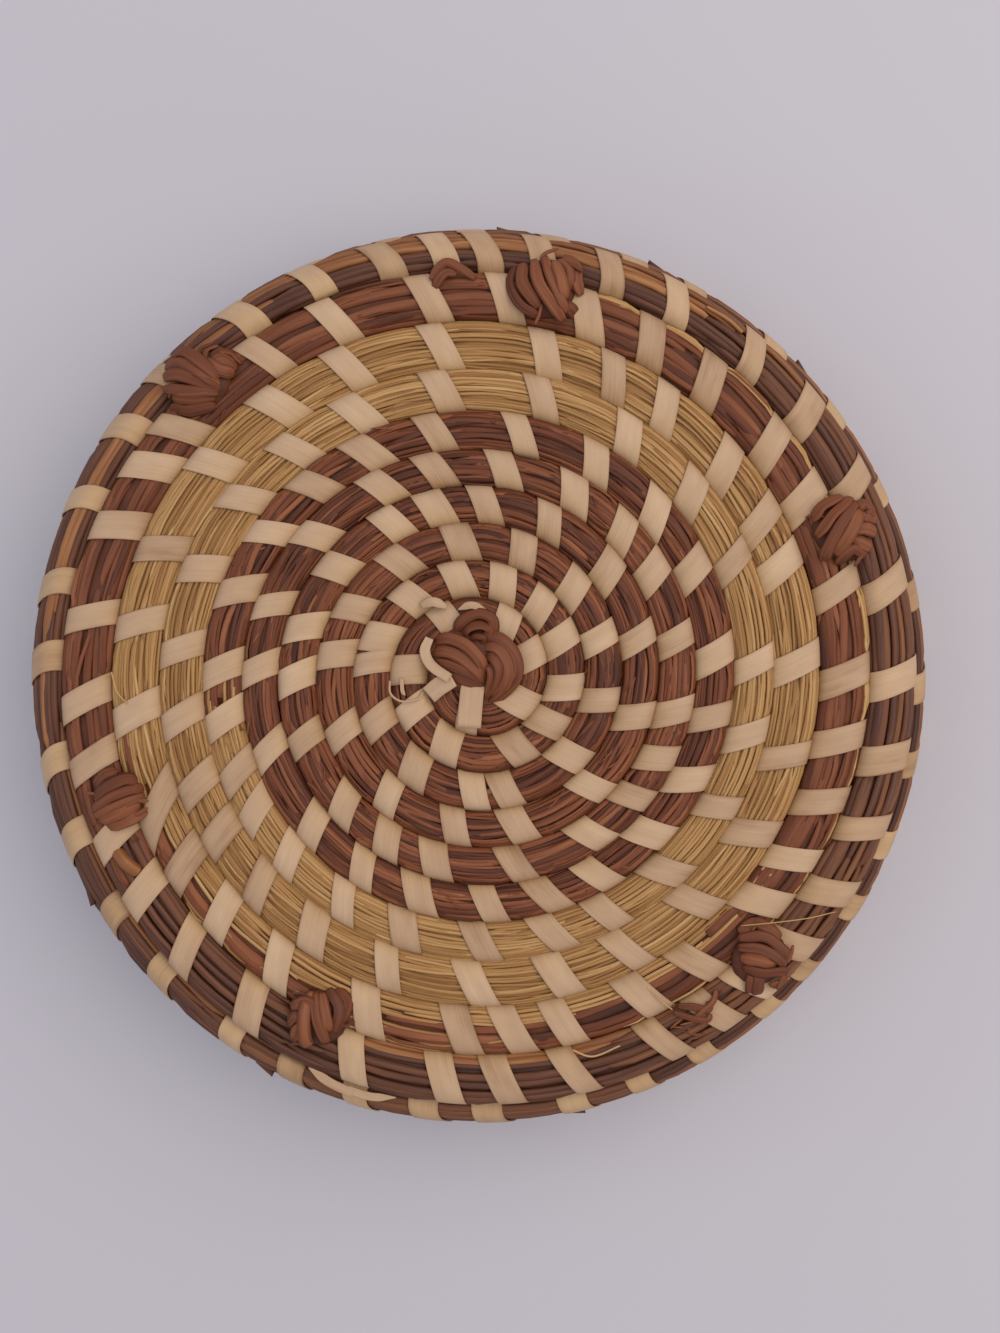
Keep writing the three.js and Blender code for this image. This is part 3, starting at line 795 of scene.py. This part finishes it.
# Each knot on the shoulder: its bearing, its lap, half its size across and along the coil, and
# its bands of needles, in the order in which they were laid. A band is a line of points to the
# right and up from the knot's middle, as seen on the base.
KNOTS = [
    (198.8, 8.7, 6.8, 7.5, [
        [(-5.4, 2.6), (-3.4, 5.4), (-0.4, 6.6)],
        [(-2.6, -7.0), (2.2, -5.4), (6.6, -3.0)],
        [(-4.2, -5.6), (0.2, -3.8), (5.2, -1.4)],
        [(-5.4, -4.2), (0.0, -1.8), (6.2, 0.8)],
        [(-6.0, -2.6), (-1.4, 0.6), (3.4, 2.4), (6.0, 2.6)],
        [(-5.4, 0.2), (-2.0, 3.0), (2.4, 4.8), (4.6, 4.2)],
    ]),
    (245, 8.648, 8.0, 8.25, [
        [(4.4, 6.8), (7.0, 3.4), (5.2, -1.6)],
        [(2.4, 6.8), (5.0, 2.4), (3.6, -3.4)],
        [(-5.8, -5.2), (-4.4, -2.0), (-2.4, -3.4)],
        [(-7.0, -1.2), (-5.2, 1.0), (-2.8, -0.8)],
        [(-6.4, 2.8), (-2.6, 4.4), (-0.4, 2.6)],
        [(-1.4, 6.4), (-2.8, 2.0), (-2.8, -4.6), (-1.6, -6.0)],
        [(-0.6, 6.2), (0.2, 0.6), (2.0, -5.4)],
        [(1.0, 6.2), (2.2, 1.4), (2.8, -2.6)],
    ]),
    (315, 9.081, 7.5, 8.5, [
        [(-2.1, -3.0), (-2.3, -6.2), (-1.7, -9.2)],
        [(-0.4, -3.0), (-0.7, -6.6), (-0.5, -8.8)],
        [(5.8, -3.6), (4.9, -5.8), (2.2, -6.4)],
        [(-5.0, 6.0), (-0.6, 8.2), (4.7, 5.0)],
        [(-4.3, -2.0), (0.2, -3.0), (4.6, -2.8), (6.0, -3.8)],
        [(-4.9, 0.4), (-0.6, 0.0), (3.6, -1.2)],
        [(-5.4, 2.8), (-0.6, 2.8), (4.2, 0.4), (5.4, -1.6)],
        [(-5.3, 4.9), (0.6, 5.6), (5.0, 2.3), (6.2, 0.2)],
    ]),
    (22, 8.962, 8.5, 9.5, [
        [(3.2, 2.6), (5.4, 2.6), (8.0, 2.0)],
        [(2.1, -0.4), (5.1, -0.2), (7.8, -1.0)],
        [(1.3, -2.8), (3.9, -3.6), (6.6, -4.6)],
        [(-1.3, -8.4), (0.2, -6.2), (2.4, -5.0), (5.4, -6.6)],
        [(3.0, 4.2), (4.7, 5.8), (6.6, 4.4), (5.6, 2.6)],
        [(-0.4, 7.6), (-5.1, 5.2), (-7.4, 1.8)],
        [(1.6, 7.2), (-2.8, 3.2), (-6.4, -2.0)],
        [(3.0, 6.2), (-1.0, 1.0), (-4.2, -5.4), (-4.4, -7.6)],
        [(3.6, 4.2), (1.2, -0.8), (-2.2, -6.4)],
    ]),
    (80, 8.979, 8.5, 8.5, [
        [(3.9, -3.9), (6.6, -5.8), (9.0, -8.0)],
        [(3.9, 7.3), (6.8, 5.4), (7.2, 1.3), (8.2, -1.6)],
        [(3.0, 6.6), (5.4, 3.6), (5.4, -0.8)],
        [(-7.6, 5.2), (-8.6, 0.6), (-6.0, -4.4), (-1.7, -6.9)],
        [(-5.6, 5.6), (-5.6, 0.2), (-1.6, -5.0)],
        [(-3.0, 6.4), (-2.0, 0.6), (0.9, -4.0), (4.0, -7.8)],
        [(-0.4, 7.2), (0.6, 2.4), (2.8, -2.6), (4.9, -6.0)],
        [(1.8, 5.8), (3.4, 1.0), (4.3, -3.2)],
    ]),
    (133, 9.199, 8.0, 8.5, [
        [(2.4, 4.4), (4.4, 6.6), (7.0, 6.4), (9.2, 4.0)],
        [(2.6, 3.4), (5.0, 4.6), (8.2, 3.0)],
        [(0.9, 4.6), (4.4, 2.0), (7.7, 1.6)],
        [(-7.6, -6.4), (-2.4, -7.6), (3.4, -6.4)],
        [(-6.8, -4.4), (-2.0, -5.2), (3.4, -4.4)],
        [(-9.2, -2.2), (-5.1, -2.8), (-0.2, -3.4), (4.2, -3.4)],
        [(-9.0, 0.4), (-5.1, 0.6), (0.2, -1.2), (4.6, -2.9)],
        [(-8.6, 3.0), (-4.3, 3.5), (0.9, 0.6), (4.6, -1.8)],
        [(-6.8, 5.6), (-3.6, 6.2), (0.8, 3.2), (4.4, -0.2)],
    ]),
]


# ---- materials
STEM_GLOSS = 0.3
STEM_BLOTCHES = 0.6
LEAF_GLOSS = 0.35
LEAF_ROUGHNESS = 0.55
NOISE_ROUGHNESS = 0.55
RELIEF_DISTANCE = 0.0002


def srgb(red, green, blue):
    """A colour written as 0 to 255, in the linear values that a shader takes."""
    def linear(value):
        value /= 255
        return value / 12.92 if value <= 0.04045 else ((value + 0.055) / 1.055) ** 2.4
    return (linear(red), linear(green), linear(blue), 1.0)


class Nodes:
    """Short calls for building one material's nodes."""

    def __init__(self, name):
        self.material = bpy.data.materials.new(name)
        self.material.use_nodes = True
        self.tree = self.material.node_tree
        self.shader = self.tree.nodes["Principled BSDF"]

    def feed(self, socket, value):
        """Links an output to a socket, or sets the socket to a plain value."""
        if isinstance(value, bpy.types.NodeSocket):
            self.tree.links.new(value, socket)
        else:
            socket.default_value = value

    def set(self, **sockets):
        """Feeds the shader's own sockets, named with _ for a space."""
        for name, value in sockets.items():
            self.feed(self.shader.inputs[name.replace("_", " ")], value)

    def add(self, kind, inputs, **values):
        """A node, with its values set and then its inputs fed."""
        node = with_values(self.tree.nodes.new(kind), **values)
        for key, value in inputs.items():
            self.feed(node.inputs[key], value)
        return node

    def attribute(self, name, output="Fac"):
        return self.add("ShaderNodeAttribute", {}, attribute_name=name).outputs[output]

    def math(self, operation, first, second):
        inputs = {0: first, 1: second}
        return self.add("ShaderNodeMath", inputs, operation=operation).outputs[0]

    def total(self, value, *others):
        for other in others:
            value = self.math("ADD", value, other)
        return value

    def around(self, value, amount):
        """A value of about a half, as a change up or down."""
        return self.math("MULTIPLY", self.math("SUBTRACT", value, 0.5), amount)

    def ramp(self, factor, stops):
        """Colours written as 0 to 255, each at its place on the ramp."""
        node = self.add("ShaderNodeValToRGB", {"Fac": factor})
        elements = node.color_ramp.elements
        while len(elements) < len(stops):
            elements.new(0.5)
        for element, (position, colour) in zip(elements, stops):
            element.position = position
            element.color = srgb(*colour)
        return node.outputs["Color"]

    def noise(self, grain, along, across, detail=3.0):
        """Noise on the grain, finer along or across the fibres as these grow."""
        inputs = {0: grain, 1: (along, across, 1.0)}
        stretch = self.add("ShaderNodeVectorMath", inputs, operation="MULTIPLY")
        inputs = {"Vector": stretch.outputs[0], "Scale": 1.0, "Detail": detail,
                  "Roughness": NOISE_ROUGHNESS}
        return self.add("ShaderNodeTexNoise", inputs).outputs["Fac"]

    def relief(self, height, strength):
        inputs = {"Height": height, "Strength": strength, "Distance": RELIEF_DISTANCE}
        self.set(Normal=self.add("ShaderNodeBump", inputs).outputs["Normal"])


def even_stops(*colours):
    return [(place, colour) for place, colour in zip(np.linspace(0, 1, len(colours)), colours)]


def stem_material(name, stops, tone_share, fibre, streak_depth, blotch, roughness, bump):
    """Dried stems: a colour for each stem, streaked along its length, with fine fibre relief."""
    nodes = Nodes(name)
    grain = nodes.attribute("grain", "Vector")
    tone = nodes.attribute("tone")
    streaks = nodes.noise(grain, 0.05, fibre)
    blotches = nodes.noise(grain, blotch, 1.2, detail=4.0)
    mixed = nodes.total(nodes.math("MULTIPLY", tone, tone_share), (1 - tone_share) / 2,
                        nodes.around(streaks, streak_depth),
                        nodes.around(blotches, STEM_BLOTCHES))
    rough = nodes.math("ADD", nodes.math("MULTIPLY", blotches, 0.25), roughness - 0.12)
    nodes.set(Base_Color=nodes.ramp(mixed, stops), Roughness=rough,
              Specular_IOR_Level=STEM_GLOSS)
    nodes.relief(streaks, bump)
    return nodes.material


def leaf_material():
    """Dried palm leaf: cream, finely ribbed along its length, with painted shade at its ends."""
    nodes = Nodes("palmetto_leaf")
    grain = nodes.attribute("grain", "Vector")
    tone, dive_shade = nodes.attribute("tone"), nodes.attribute("dive_shade")
    fibres = nodes.noise(grain, 0.035, 9.0, detail=4.0)
    clouds = nodes.noise(grain, 0.09, 0.8, detail=2.0)
    across = nodes.add("ShaderNodeSeparateXYZ", {0: grain}).outputs["Y"]
    # Painted shadow: a dark line along each edge of the strip.
    edge_shade = nodes.math("POWER", nodes.math("ABSOLUTE", across, 0.0), 10.0)
    mixed = nodes.total(nodes.math("MULTIPLY", tone, 0.35), nodes.around(fibres, 0.4),
                        nodes.around(clouds, 0.6), 0.42)
    mixed = nodes.math("SUBTRACT", mixed, nodes.math("MULTIPLY", edge_shade, 0.25))
    plain = nodes.ramp(mixed, [
        (0.0, (96, 64, 42)), (0.2, (141, 104, 74)), (0.42, (168, 134, 103)),
        (0.7, (182, 149, 117)), (1.0, (196, 165, 131))])
    # Painted shade for the inner side, where the strip dives between laps: darker and yellower.
    ends = nodes.ramp(mixed, [
        (0.0, (84, 52, 26)), (0.3, (146, 106, 64)), (0.6, (175, 137, 92)),
        (1.0, (190, 155, 110))])
    inputs = {"Factor": nodes.math("MULTIPLY", dive_shade, 0.8), "A": plain, "B": ends}
    mix = nodes.add("ShaderNodeMix", inputs, data_type="RGBA")
    nodes.set(Base_Color=mix.outputs["Result"], Roughness=LEAF_ROUGHNESS,
              Specular_IOR_Level=LEAF_GLOSS)
    nodes.relief(fibres, 0.3)
    return nodes.material


# The material of each slot in the record
MATERIALS = {
    "pine_needle": stem_material(
        "pine_needles",
        even_stops((38, 13, 5), (74, 35, 17), (104, 54, 29), (127, 72, 42), (150, 94, 60)),
        tone_share=0.5, fibre=4.0, streak_depth=0.8, blotch=0.03, roughness=0.6, bump=0.5),
    "sweetgrass": stem_material(
        "sweetgrass_stems",
        even_stops((106, 68, 36), (134, 91, 48), (158, 115, 66), (176, 135, 85), (196, 160, 110)),
        tone_share=0.55, fibre=3.0, streak_depth=0.8, blotch=0.02, roughness=0.6, bump=0.4),
    "bulrush": stem_material(
        "bulrush_stems",
        even_stops((50, 24, 14), (78, 43, 28), (107, 64, 39), (138, 86, 47), (168, 118, 70)),
        tone_share=0.8, fibre=6.0, streak_depth=0.7, blotch=0.012, roughness=0.5, bump=0.4),
    "palmetto": leaf_material(),
}


# ---- the pieces of cord
def make_piece(shape, name, slot, node):
    """Makes a shape's mesh, which takes the place of one solid."""
    piece = shape.make(name, MATERIALS[slot])
    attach(piece, "root")
    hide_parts(node)


def stem_piece(name, plant, slot, node, first, last, extras, core=None, **ends):
    """One length of cord: its inside in painted shade, its stems, and what extras adds to it."""
    shape = Shape(STEM_FLOOR)
    add_core(shape, plant, *(core or (first, last)))
    add_stems(shape, plant, first, last, **ends)
    extras(shape, first, last)
    make_piece(shape, name, slot, node)


OUTER_EDGE_TURNS = (-2.2, -1.6, 1.45, 1.85)


def outer_edge(turn):
    """1 on the outer half of the section, falling to 0 just past its top and its bottom."""
    return float(np.interp(wrapped(turn), OUTER_EDGE_TURNS, (0, 1, 1, 0)))


def near(place, spread, shift=0.0):
    """A stem's end near a splice: scattered, and moved by shift on the section's outer half."""
    return lambda turn: place + shift * outer_edge(turn) + uniform(-spread, spread)


COIL_START = -0.3
PINE_END = 6.02
EDGE_START = 8.05  # from here pine needles lie outside the last of the sweetgrass
BAND_START = 8.39
RUSH_START = 9.07
SHOULDER_END = 10.31
WALL_LAPS = [10.31, 11.56, 12.77, 13.81, END_LAP]
WALL_NODES = ["bulrush_wall_coil_1", "bulrush_wall_coil_2", "bulrush_wall_coil_3",
              "bulrush_rim_coil"]

# Small things seen in single places. A point is a bearing in degrees, a radius and a height
# over the coil. A tuft has a count of needles, a fold its width and tone, a straw its first and
# last lap and its turn, and a thread its half thickness.
PINE_TUFTS = [(135.5, 35.7, 9), (141.9, 44.4, 8), (128, 33, 6), (358, 29.6, 8), (328, 31.4, 6),
              (20, 14, 5), (75, 48, 6), (255, 47, 5), (305, 52, 6), (218, 40, 5)]
PINE_FOLDS = [
    ([(96.8, 94.2, 0.2), (95.6, 96.4, 1.2), (94.2, 97.6, 1.6), (92.2, 95.8, 1.2),
      (90.3, 93.8, 0.3)], 2.3, 0.75),
    ([(96.4, 92.4, 0.1), (95.5, 94.2, 1.0), (94.4, 95.4, 1.3), (93.0, 95.0, 1.0)], 2.6, 0.55),
    ([(300.2, 92.0, 0.0), (301.9, 94.8, 1.2), (303.6, 97.2, 1.6), (304.6, 96.6, 1.3)], 1.6, 0.6),
    ([(301.2, 91.2, 0.0), (303.0, 93.0, 1.0), (304.6, 95.4, 1.3), (305.4, 94.0, 0.8)], 1.9, 0.4),
    ([(301.8, 96.0, 1.0), (303.8, 95.0, 1.5), (305.8, 94.6, 1.1), (307.2, 93.2, 0.1)], 1.5, 0.65),
]
FOLD_CENTRE = (0.0, 0.0, -200.0)  # so far below that the folds face up
BAND_TUFTS = [(302, 93, 12), (304.5, 95, 10), (93.5, 95, 8)]
GRASS_STRAY_SPACING = 7.0
STRAW_STEMS = [(8.30, 8.60, 0.60), (8.47, 8.715, 0.50), (8.50, 8.70, 0.60), (8.46, 8.66, 0.70),
               (8.52, 8.70, 0.80), (8.60, 8.725, 0.56), (8.66, 8.725, 0.66)]
STRAW_THREADS = [
    ([(316.5, 85.6, 0.8), (320.5, 90.6, 3.4), (323.8, 96.2, 2.4), (326.6, 101.6, 0.2)], 0.13),
    ([(284.2, 91.2, 0.2), (286.8, 93.8, 0.5), (291.0, 93.6, 0.1)], 0.24),
    ([(298.4, 83.8, 0.2), (299.4, 88.0, 0.7), (300.2, 91.2, 0.2)], 0.15),
    ([(179.4, 86.6, 0.1), (182.6, 85.2, 0.5), (184.6, 83.0, 0.2)], 0.2),
]
RUSH_STUBS = [42, 65, 85, 208, 240, 281]
RUSH_PITH = [(206.2, 95.0, -1.0), (208.0, 94.0, 0.6), (209.8, 93.2, -1.0)]
RUSH_PEELED = [(52.4, 103.0, 0.0), (55.0, 103.4, 0.35), (58.2, 103.2, 0.0)]


def pine_extras(stray_spacing, frays, tufts, folds=(), fray_laps=None):
    """What adds the loose needles of one length of pine."""
    def extras(shape, first, last):
        add_strays(shape, PINE, first, last, stray_spacing)
        add_frays(shape, *(fray_laps or (first, last)), frays)
        for tuft in tufts:
            add_tuft(shape, *tuft)
        for points, width, tone in folds:
            outward = away_from(FOLD_CENTRE)
            add_band(shape, [over_coil(*point) for point in points], outward, width, tone)
    return extras


def grass_extras(shape, first, last):
    add_strays(shape, GRASS, first, last - 0.1, GRASS_STRAY_SPACING)
    for first, last, turn in STRAW_STEMS:
        add_stem(shape, GRASS, first, last, turn, 1.0, True, True, drift=0.0, raised=0.3)
    for points, half in STRAW_THREADS:
        add_thread(shape, points, half, 1.0)


def add_stubs(shape, first, last):
    """Cut ends of bulrush stems that stand off the coil, on one length of the cord."""
    for bearing in RUSH_STUBS:
        lap = lap_at(10, bearing)
        if first < lap < last:
            share = np.linspace(0, 1, 6)
            path = on_section(lap + share * STUB_LENGTH / arc_at(lap), STUB_TURN,
                              STUB_DEPTH - STUB_RISE * share)
            add_tube(shape, path, STUB_HALF_WIDE, STUB_HALF_THICK, STUB_TONE, RUSH.sides)


stem_piece("pine_needle_coil", PINE, "pine_needle", "pine_centre_coil", COIL_START, PINE_END,
           pine_extras(stray_spacing=5.0, frays=150, tufts=PINE_TUFTS,
                       fray_laps=(0.8, PINE_END - 0.1)),
           begin=near(COIL_START, 0.05), end=near(PINE_END, 0.03))
stem_piece("sweetgrass_stem_coil", GRASS, "sweetgrass", "sweetgrass_coil",
           PINE_END, BAND_START, grass_extras, core=(PINE_END, EDGE_START),
           begin=near(PINE_END, 0.03), end=near(BAND_START, 0.03, shift=-0.345))
stem_piece("pine_needle_band", PINE_CLUMPS, "pine_needle", "pine_band_coil",
           BAND_START, RUSH_START,
           pine_extras(stray_spacing=9.0, frays=30, tufts=BAND_TUFTS, folds=PINE_FOLDS),
           core=(EDGE_START, RUSH_START),
           begin=near(BAND_START, 0.03, shift=-0.355), end=near(RUSH_START, 0.02))

# Runs of the shoulder's stems: where each ends, and its tones. A tone holds for the stems seen
# below a limit in degrees, where 90 is the middle of the part in sight and less is outside it.
SHOULDER_RUNS = [
    (9.18, [(360, 0.38)]),
    (9.33, [(124, 0.38), (360, 0.8)]),
    (9.44, [(360, 0.5)]),
    (9.64, [(72, 0.52), (360, 0.22)]),
    (9.85, [(88, 0.76), (360, 0.2)]),
    (10.01, [(58, 0.3), (98, 0.8), (360, 0.15)]),
    (10.17, [(108, 0.2), (360, 0.75)]),
    (SHOULDER_END, [(360, 0.42)]),
]


def shoulder_tone(lap, turn, tones):
    """The tone of a stem, orange or dark, by where on the shoulder it is seen."""
    bend = math.degrees(float(profile_point(profile_distance(lap))[2]))
    seen = math.degrees(wrapped(turn)) % 360 - bend
    tone = next(tone for limit, tone in tones if seen < limit)
    return tone + uniform(-0.12, 0.12)


def add_shoulder(shape):
    """The shoulder's stems, in short runs so that their colours follow the places in sight."""
    for turn in stem_turns(RUSH):
        lap = RUSH_START + uniform(-0.02, 0.0)
        for run_end, tones in SHOULDER_RUNS:
            last = run_end == SHOULDER_END
            stop = run_end if last else run_end + uniform(-0.03, 0.03)
            add_stem(shape, RUSH, lap, stop, turn, shoulder_tone((lap + stop) / 2, turn, tones),
                     lap > RUSH_START, not last, drift=uniform(-0.05, 0.05))
            lap = stop - 0.012


shoulder = Shape()
add_core(shoulder, RUSH, RUSH_START, SHOULDER_END)
add_shoulder(shoulder)
add_stubs(shoulder, RUSH_START, SHOULDER_END)
add_thread(shoulder, RUSH_PITH, 1.7, 0.68)
add_thread(shoulder, RUSH_PEELED, 0.5, 1.0)
make_piece(shoulder, "bulrush_shoulder_stems", "bulrush", "bulrush_shoulder_coil")
for node, first, last in zip(WALL_NODES, WALL_LAPS, WALL_LAPS[1:]):
    stem_piece(node.replace("_coil", "_stems"), RUSH, "bulrush", node, first, last, add_stubs)


# ---- the strips and knots
# Loose pieces of leaf. A point is x, y and a height over the coil, then come the strip's width and
# how narrow its two ends are as shares.
CENTRE_LEAVES = [
    ([(-11.4, 8.9, 0.8), (-12.5, 5.8, 1.0), (-10.9, 2.4, 1.6), (-6.6, -0.6, 2.4)], 2.5, 0.8, 0.9),
    ([(-5.9, -0.6, 1.9), (-9.0, -2.4, 1.2), (-11.6, -4.6, 0.4)], 4.4, 0.9, 1.0),
    ([(-4.7, 15.6, 1.2), (-1.4, 16.6, 2.2), (2.4, 15.2, 1.2)], 1.7, 0.1, 0.1),
    ([(-13.4, 16.6, 0.5), (-10.4, 17.4, 1.6), (-7.4, 16.2, 0.9)], 2.2, 0.5, 0.4),
    ([(-0.6, -0.6, 0.3), (-1.3, -3.2, 1.1), (-1.7, -7.0, 0.8), (-2.1, -12.2, 0.3)], 5.6, 0.9, 1.0),
    ([(-18.0, -0.6, 0.4), (-17.8, -3.4, 0.9), (-17.2, -4.6, 0.7)], 0.9, 0.9, 0.3),
]
CURLS = [([(-20.8, -1.2, 0.4), (-20.6, -4.2, 1.0), (-18.0, -6.0, 1.5), (-14.4, -5.6, 1.0),
           (-13.0, -4.0, 0.3)], 0.28)]
EDGE_LEAVES = [
    ([(246.6, 101.0, 0.3), (250.0, 102.6, 0.6), (253.4, 103.4, 0.8)], 2.2, 0.1, 0.9),
    ([(252.4, 102.8, 0.5), (255.6, 103.0, 0.6), (259.0, 101.8, 0.3)], 1.9, 0.9, 0.1),
]
EDGE_LEAVES_LAP = 10.2


def as_polar(points):
    """Points of x, y and height, as points of bearing, radius and height."""
    return [(math.degrees(math.atan2(y, x)), math.hypot(x, y), lift) for x, y, lift in points]


def add_loose_leaves(shape, first, last):
    """The loose pieces that belong to the strip of stitches first to last."""
    if first == 0:
        for points, *size in CENTRE_LEAVES:
            add_loose_leaf(shape, as_polar(points), *size)
        for points, half in CURLS:
            add_thread(shape, as_polar(points), half, 0.5)
    if stitches[first] <= EDGE_LEAVES_LAP < stitches[last - 1]:
        for points, *size in EDGE_LEAVES:
            add_loose_leaf(shape, points, *size)


for number, first in enumerate(range(0, len(stitches), STITCHES_PER_STRIP), 1):
    leaf = Shape(LEAF_FLOOR)
    last = min(first + STITCHES_PER_STRIP, len(stitches))
    add_leaf(leaf, first, last)
    add_loose_leaves(leaf, first, last)
    make_piece(leaf, f"leaf_strip_{number:02d}", "palmetto", f"palmetto_strip_{number:02d}")

for number, knot in enumerate(KNOTS, 1):
    shape = Shape()
    add_shoulder_knot(shape, *knot)
    make_piece(shape, f"needle_knot_{number}", "pine_needle", f"pine_knot_{number}")

# The knot that the cord starts from. Points are x, y and height over the coil's top, and a band
# then has its width and tone. A mound has half its size in x and in y, and its height.
START_BANDS = [
    ([(-4.6, 9.4, -0.5), (-4.2, 12.4, 1.6), (-0.4, 14.6, 2.4), (3.2, 13.6, 2.4), (3.4, 10.6, 1.6),
      (1.8, 7.6, 0.5)], 3.2, 0.5),
    ([(-4.0, 8.6, 0.0), (-2.4, 11.2, 2.2), (0.8, 12.0, 2.6), (2.8, 10.6, 2.2),
      (1.4, 7.4, 1.0)], 3.0, 0.6),
    ([(-2.6, 8.2, 0.6), (-0.6, 9.6, 2.0), (1.6, 9.0, 2.0), (1.4, 6.6, 1.0)], 2.6, 0.35),
    ([(-9.4, 0.6, -1.5), (-6.6, 0.4, 0.9), (-3.0, -1.0, 1.6), (0.4, -2.2, 0.8),
      (1.4, -3.6, -0.6)], 2.8, 0.45),
    ([(-10.8, 3.0, -1.5), (-7.6, 2.8, 1.6), (-3.8, 1.4, 2.6), (-0.4, -0.6, 1.9),
      (1.6, -2.4, -0.2)], 3.0, 0.6),
    ([(-11.2, 5.6, -1.5), (-7.8, 5.9, 2.2), (-3.6, 4.2, 3.3), (0.2, 1.0, 2.6),
      (1.8, -1.6, 0.2)], 3.2, 0.8),
    ([(-10.4, 8.2, -1.5), (-7.0, 8.8, 2.0), (-2.8, 7.2, 3.6), (0.6, 3.6, 3.4),
      (1.9, -0.4, 0.9)], 3.2, 0.65),
    ([(1.2, 8.8, 1.0), (4.8, 8.9, 2.6), (8.6, 5.2, 2.8), (9.2, 0.0, 2.0), (5.6, -4.4, 0.4),
      (2.6, -6.6, -1.5)], 3.2, 0.55),
    ([(1.4, 6.8, 1.5), (4.6, 6.4, 3.3), (7.0, 2.8, 3.5), (6.6, -1.6, 2.4),
      (3.6, -5.2, -0.4)], 3.0, 0.8),
    ([(1.8, 4.6, 1.8), (3.8, 4.0, 3.5), (5.0, 1.2, 3.6), (4.4, -2.0, 2.2),
      (2.8, -4.8, -0.4)], 2.6, 0.6),
    ([(1.9, 2.6, 1.6), (2.9, 1.8, 3.0), (3.2, -0.6, 2.8), (2.4, -3.6, 0.8),
      (2.0, -5.6, -1.0)], 2.2, 0.7),
]
START_MOUNDS = [((-1.5, 3.8, -0.8), 9.6, 8.6, 3.2), ((0.6, -3.6, -1.6), 6.5, 5.5, 1.2)]
START_MOUND_DEPTH = 7.0
# The start knot's mounds are toned dark as painted shade between its bands.
START_MOUND_SHADE_TONE = 0.25
START_BAND_THICK = 0.6
START_CENTRE = (-1.5, 3.8, -9.8)


def add_start_knot(shape):
    top = np.array([0, 0, TOP])
    for place, half_x, half_y, height in START_MOUNDS:
        add_mound(shape, top + place, half_x, half_y, height, START_MOUND_DEPTH,
                  tone=START_MOUND_SHADE_TONE)
    outward = away_from(top + START_CENTRE)
    for points, width, tone in START_BANDS:
        add_band(shape, top + points, outward, width, tone, START_BAND_THICK)


start_shape = Shape()
add_start_knot(start_shape)
make_piece(start_shape, "start_needle_knot", "pine_needle", "start_knot")

# ---- floor, light and camera
FLOOR_SIZE = 6.0
FLOOR_COLOUR = (188, 183, 188)
WORLD_COLOUR = (0.95, 0.95, 1.0, 1.0)
WORLD_STRENGTH = 0.64
CAMERA_HEIGHT = 0.325
VIEW_LONG_SIDE = 0.315
SENSOR = 36.0
VIEW_X = 0.0052
VIEW_Y = 0.0022

# Each lamp: its name, place and size in metres, power and colour
LAMPS = [
    ("soft_key", (0.42, 0.18, 0.8), 1.2, 5.9, (1.0, 0.95, 0.9)),
    ("soft_fill", (-0.7, 0.1, 0.6), 1.0, 1.5, (0.5, 0.7, 1.0)),
]


def make_floor():
    nodes = Nodes("pale_floor")
    nodes.set(Base_Color=srgb(*FLOOR_COLOUR), Roughness=0.9, Specular_IOR_Level=0.1)
    mesh = bpy.data.meshes.new("floor")
    half = FLOOR_SIZE / 2
    corners = [(-half, -half, 0), (half, -half, 0), (half, half, 0), (-half, half, 0)]
    mesh.from_pydata(corners, [], [(0, 1, 2, 3)])
    mesh.materials.append(nodes.material)
    add_object("floor", mesh)


def make_world():
    world = bpy.data.worlds.new("studio")
    bpy.context.scene.world = world
    world.use_nodes = True
    background = world.node_tree.nodes["Background"]
    background.inputs["Color"].default_value = WORLD_COLOUR
    background.inputs["Strength"].default_value = WORLD_STRENGTH


def make_lamp(name, place, size, energy, colour):
    """A round soft lamp that faces the middle of the floor."""
    light = bpy.data.lights.new(name, "AREA")
    lamp = add_object(name, with_values(light, shape="DISK", size=size, energy=energy,
                                        color=colour))
    lamp.location = place
    lamp.rotation_euler = (-Vector(place)).to_track_quat("-Z", "Y").to_euler()


def make_camera():
    lens = SENSOR * CAMERA_HEIGHT / VIEW_LONG_SIDE
    camera = add_object("camera", with_values(
        bpy.data.cameras.new("camera"), sensor_width=SENSOR, lens=lens, clip_start=0.01,
        clip_end=20))
    camera.location = (VIEW_X, VIEW_Y, TOP * MM + CAMERA_HEIGHT)
    bpy.context.scene.camera = camera


make_floor()
make_world()
for lamp in LAMPS:
    make_lamp(*lamp)
make_camera()
bpy.context.scene.view_settings.view_transform = "Standard"
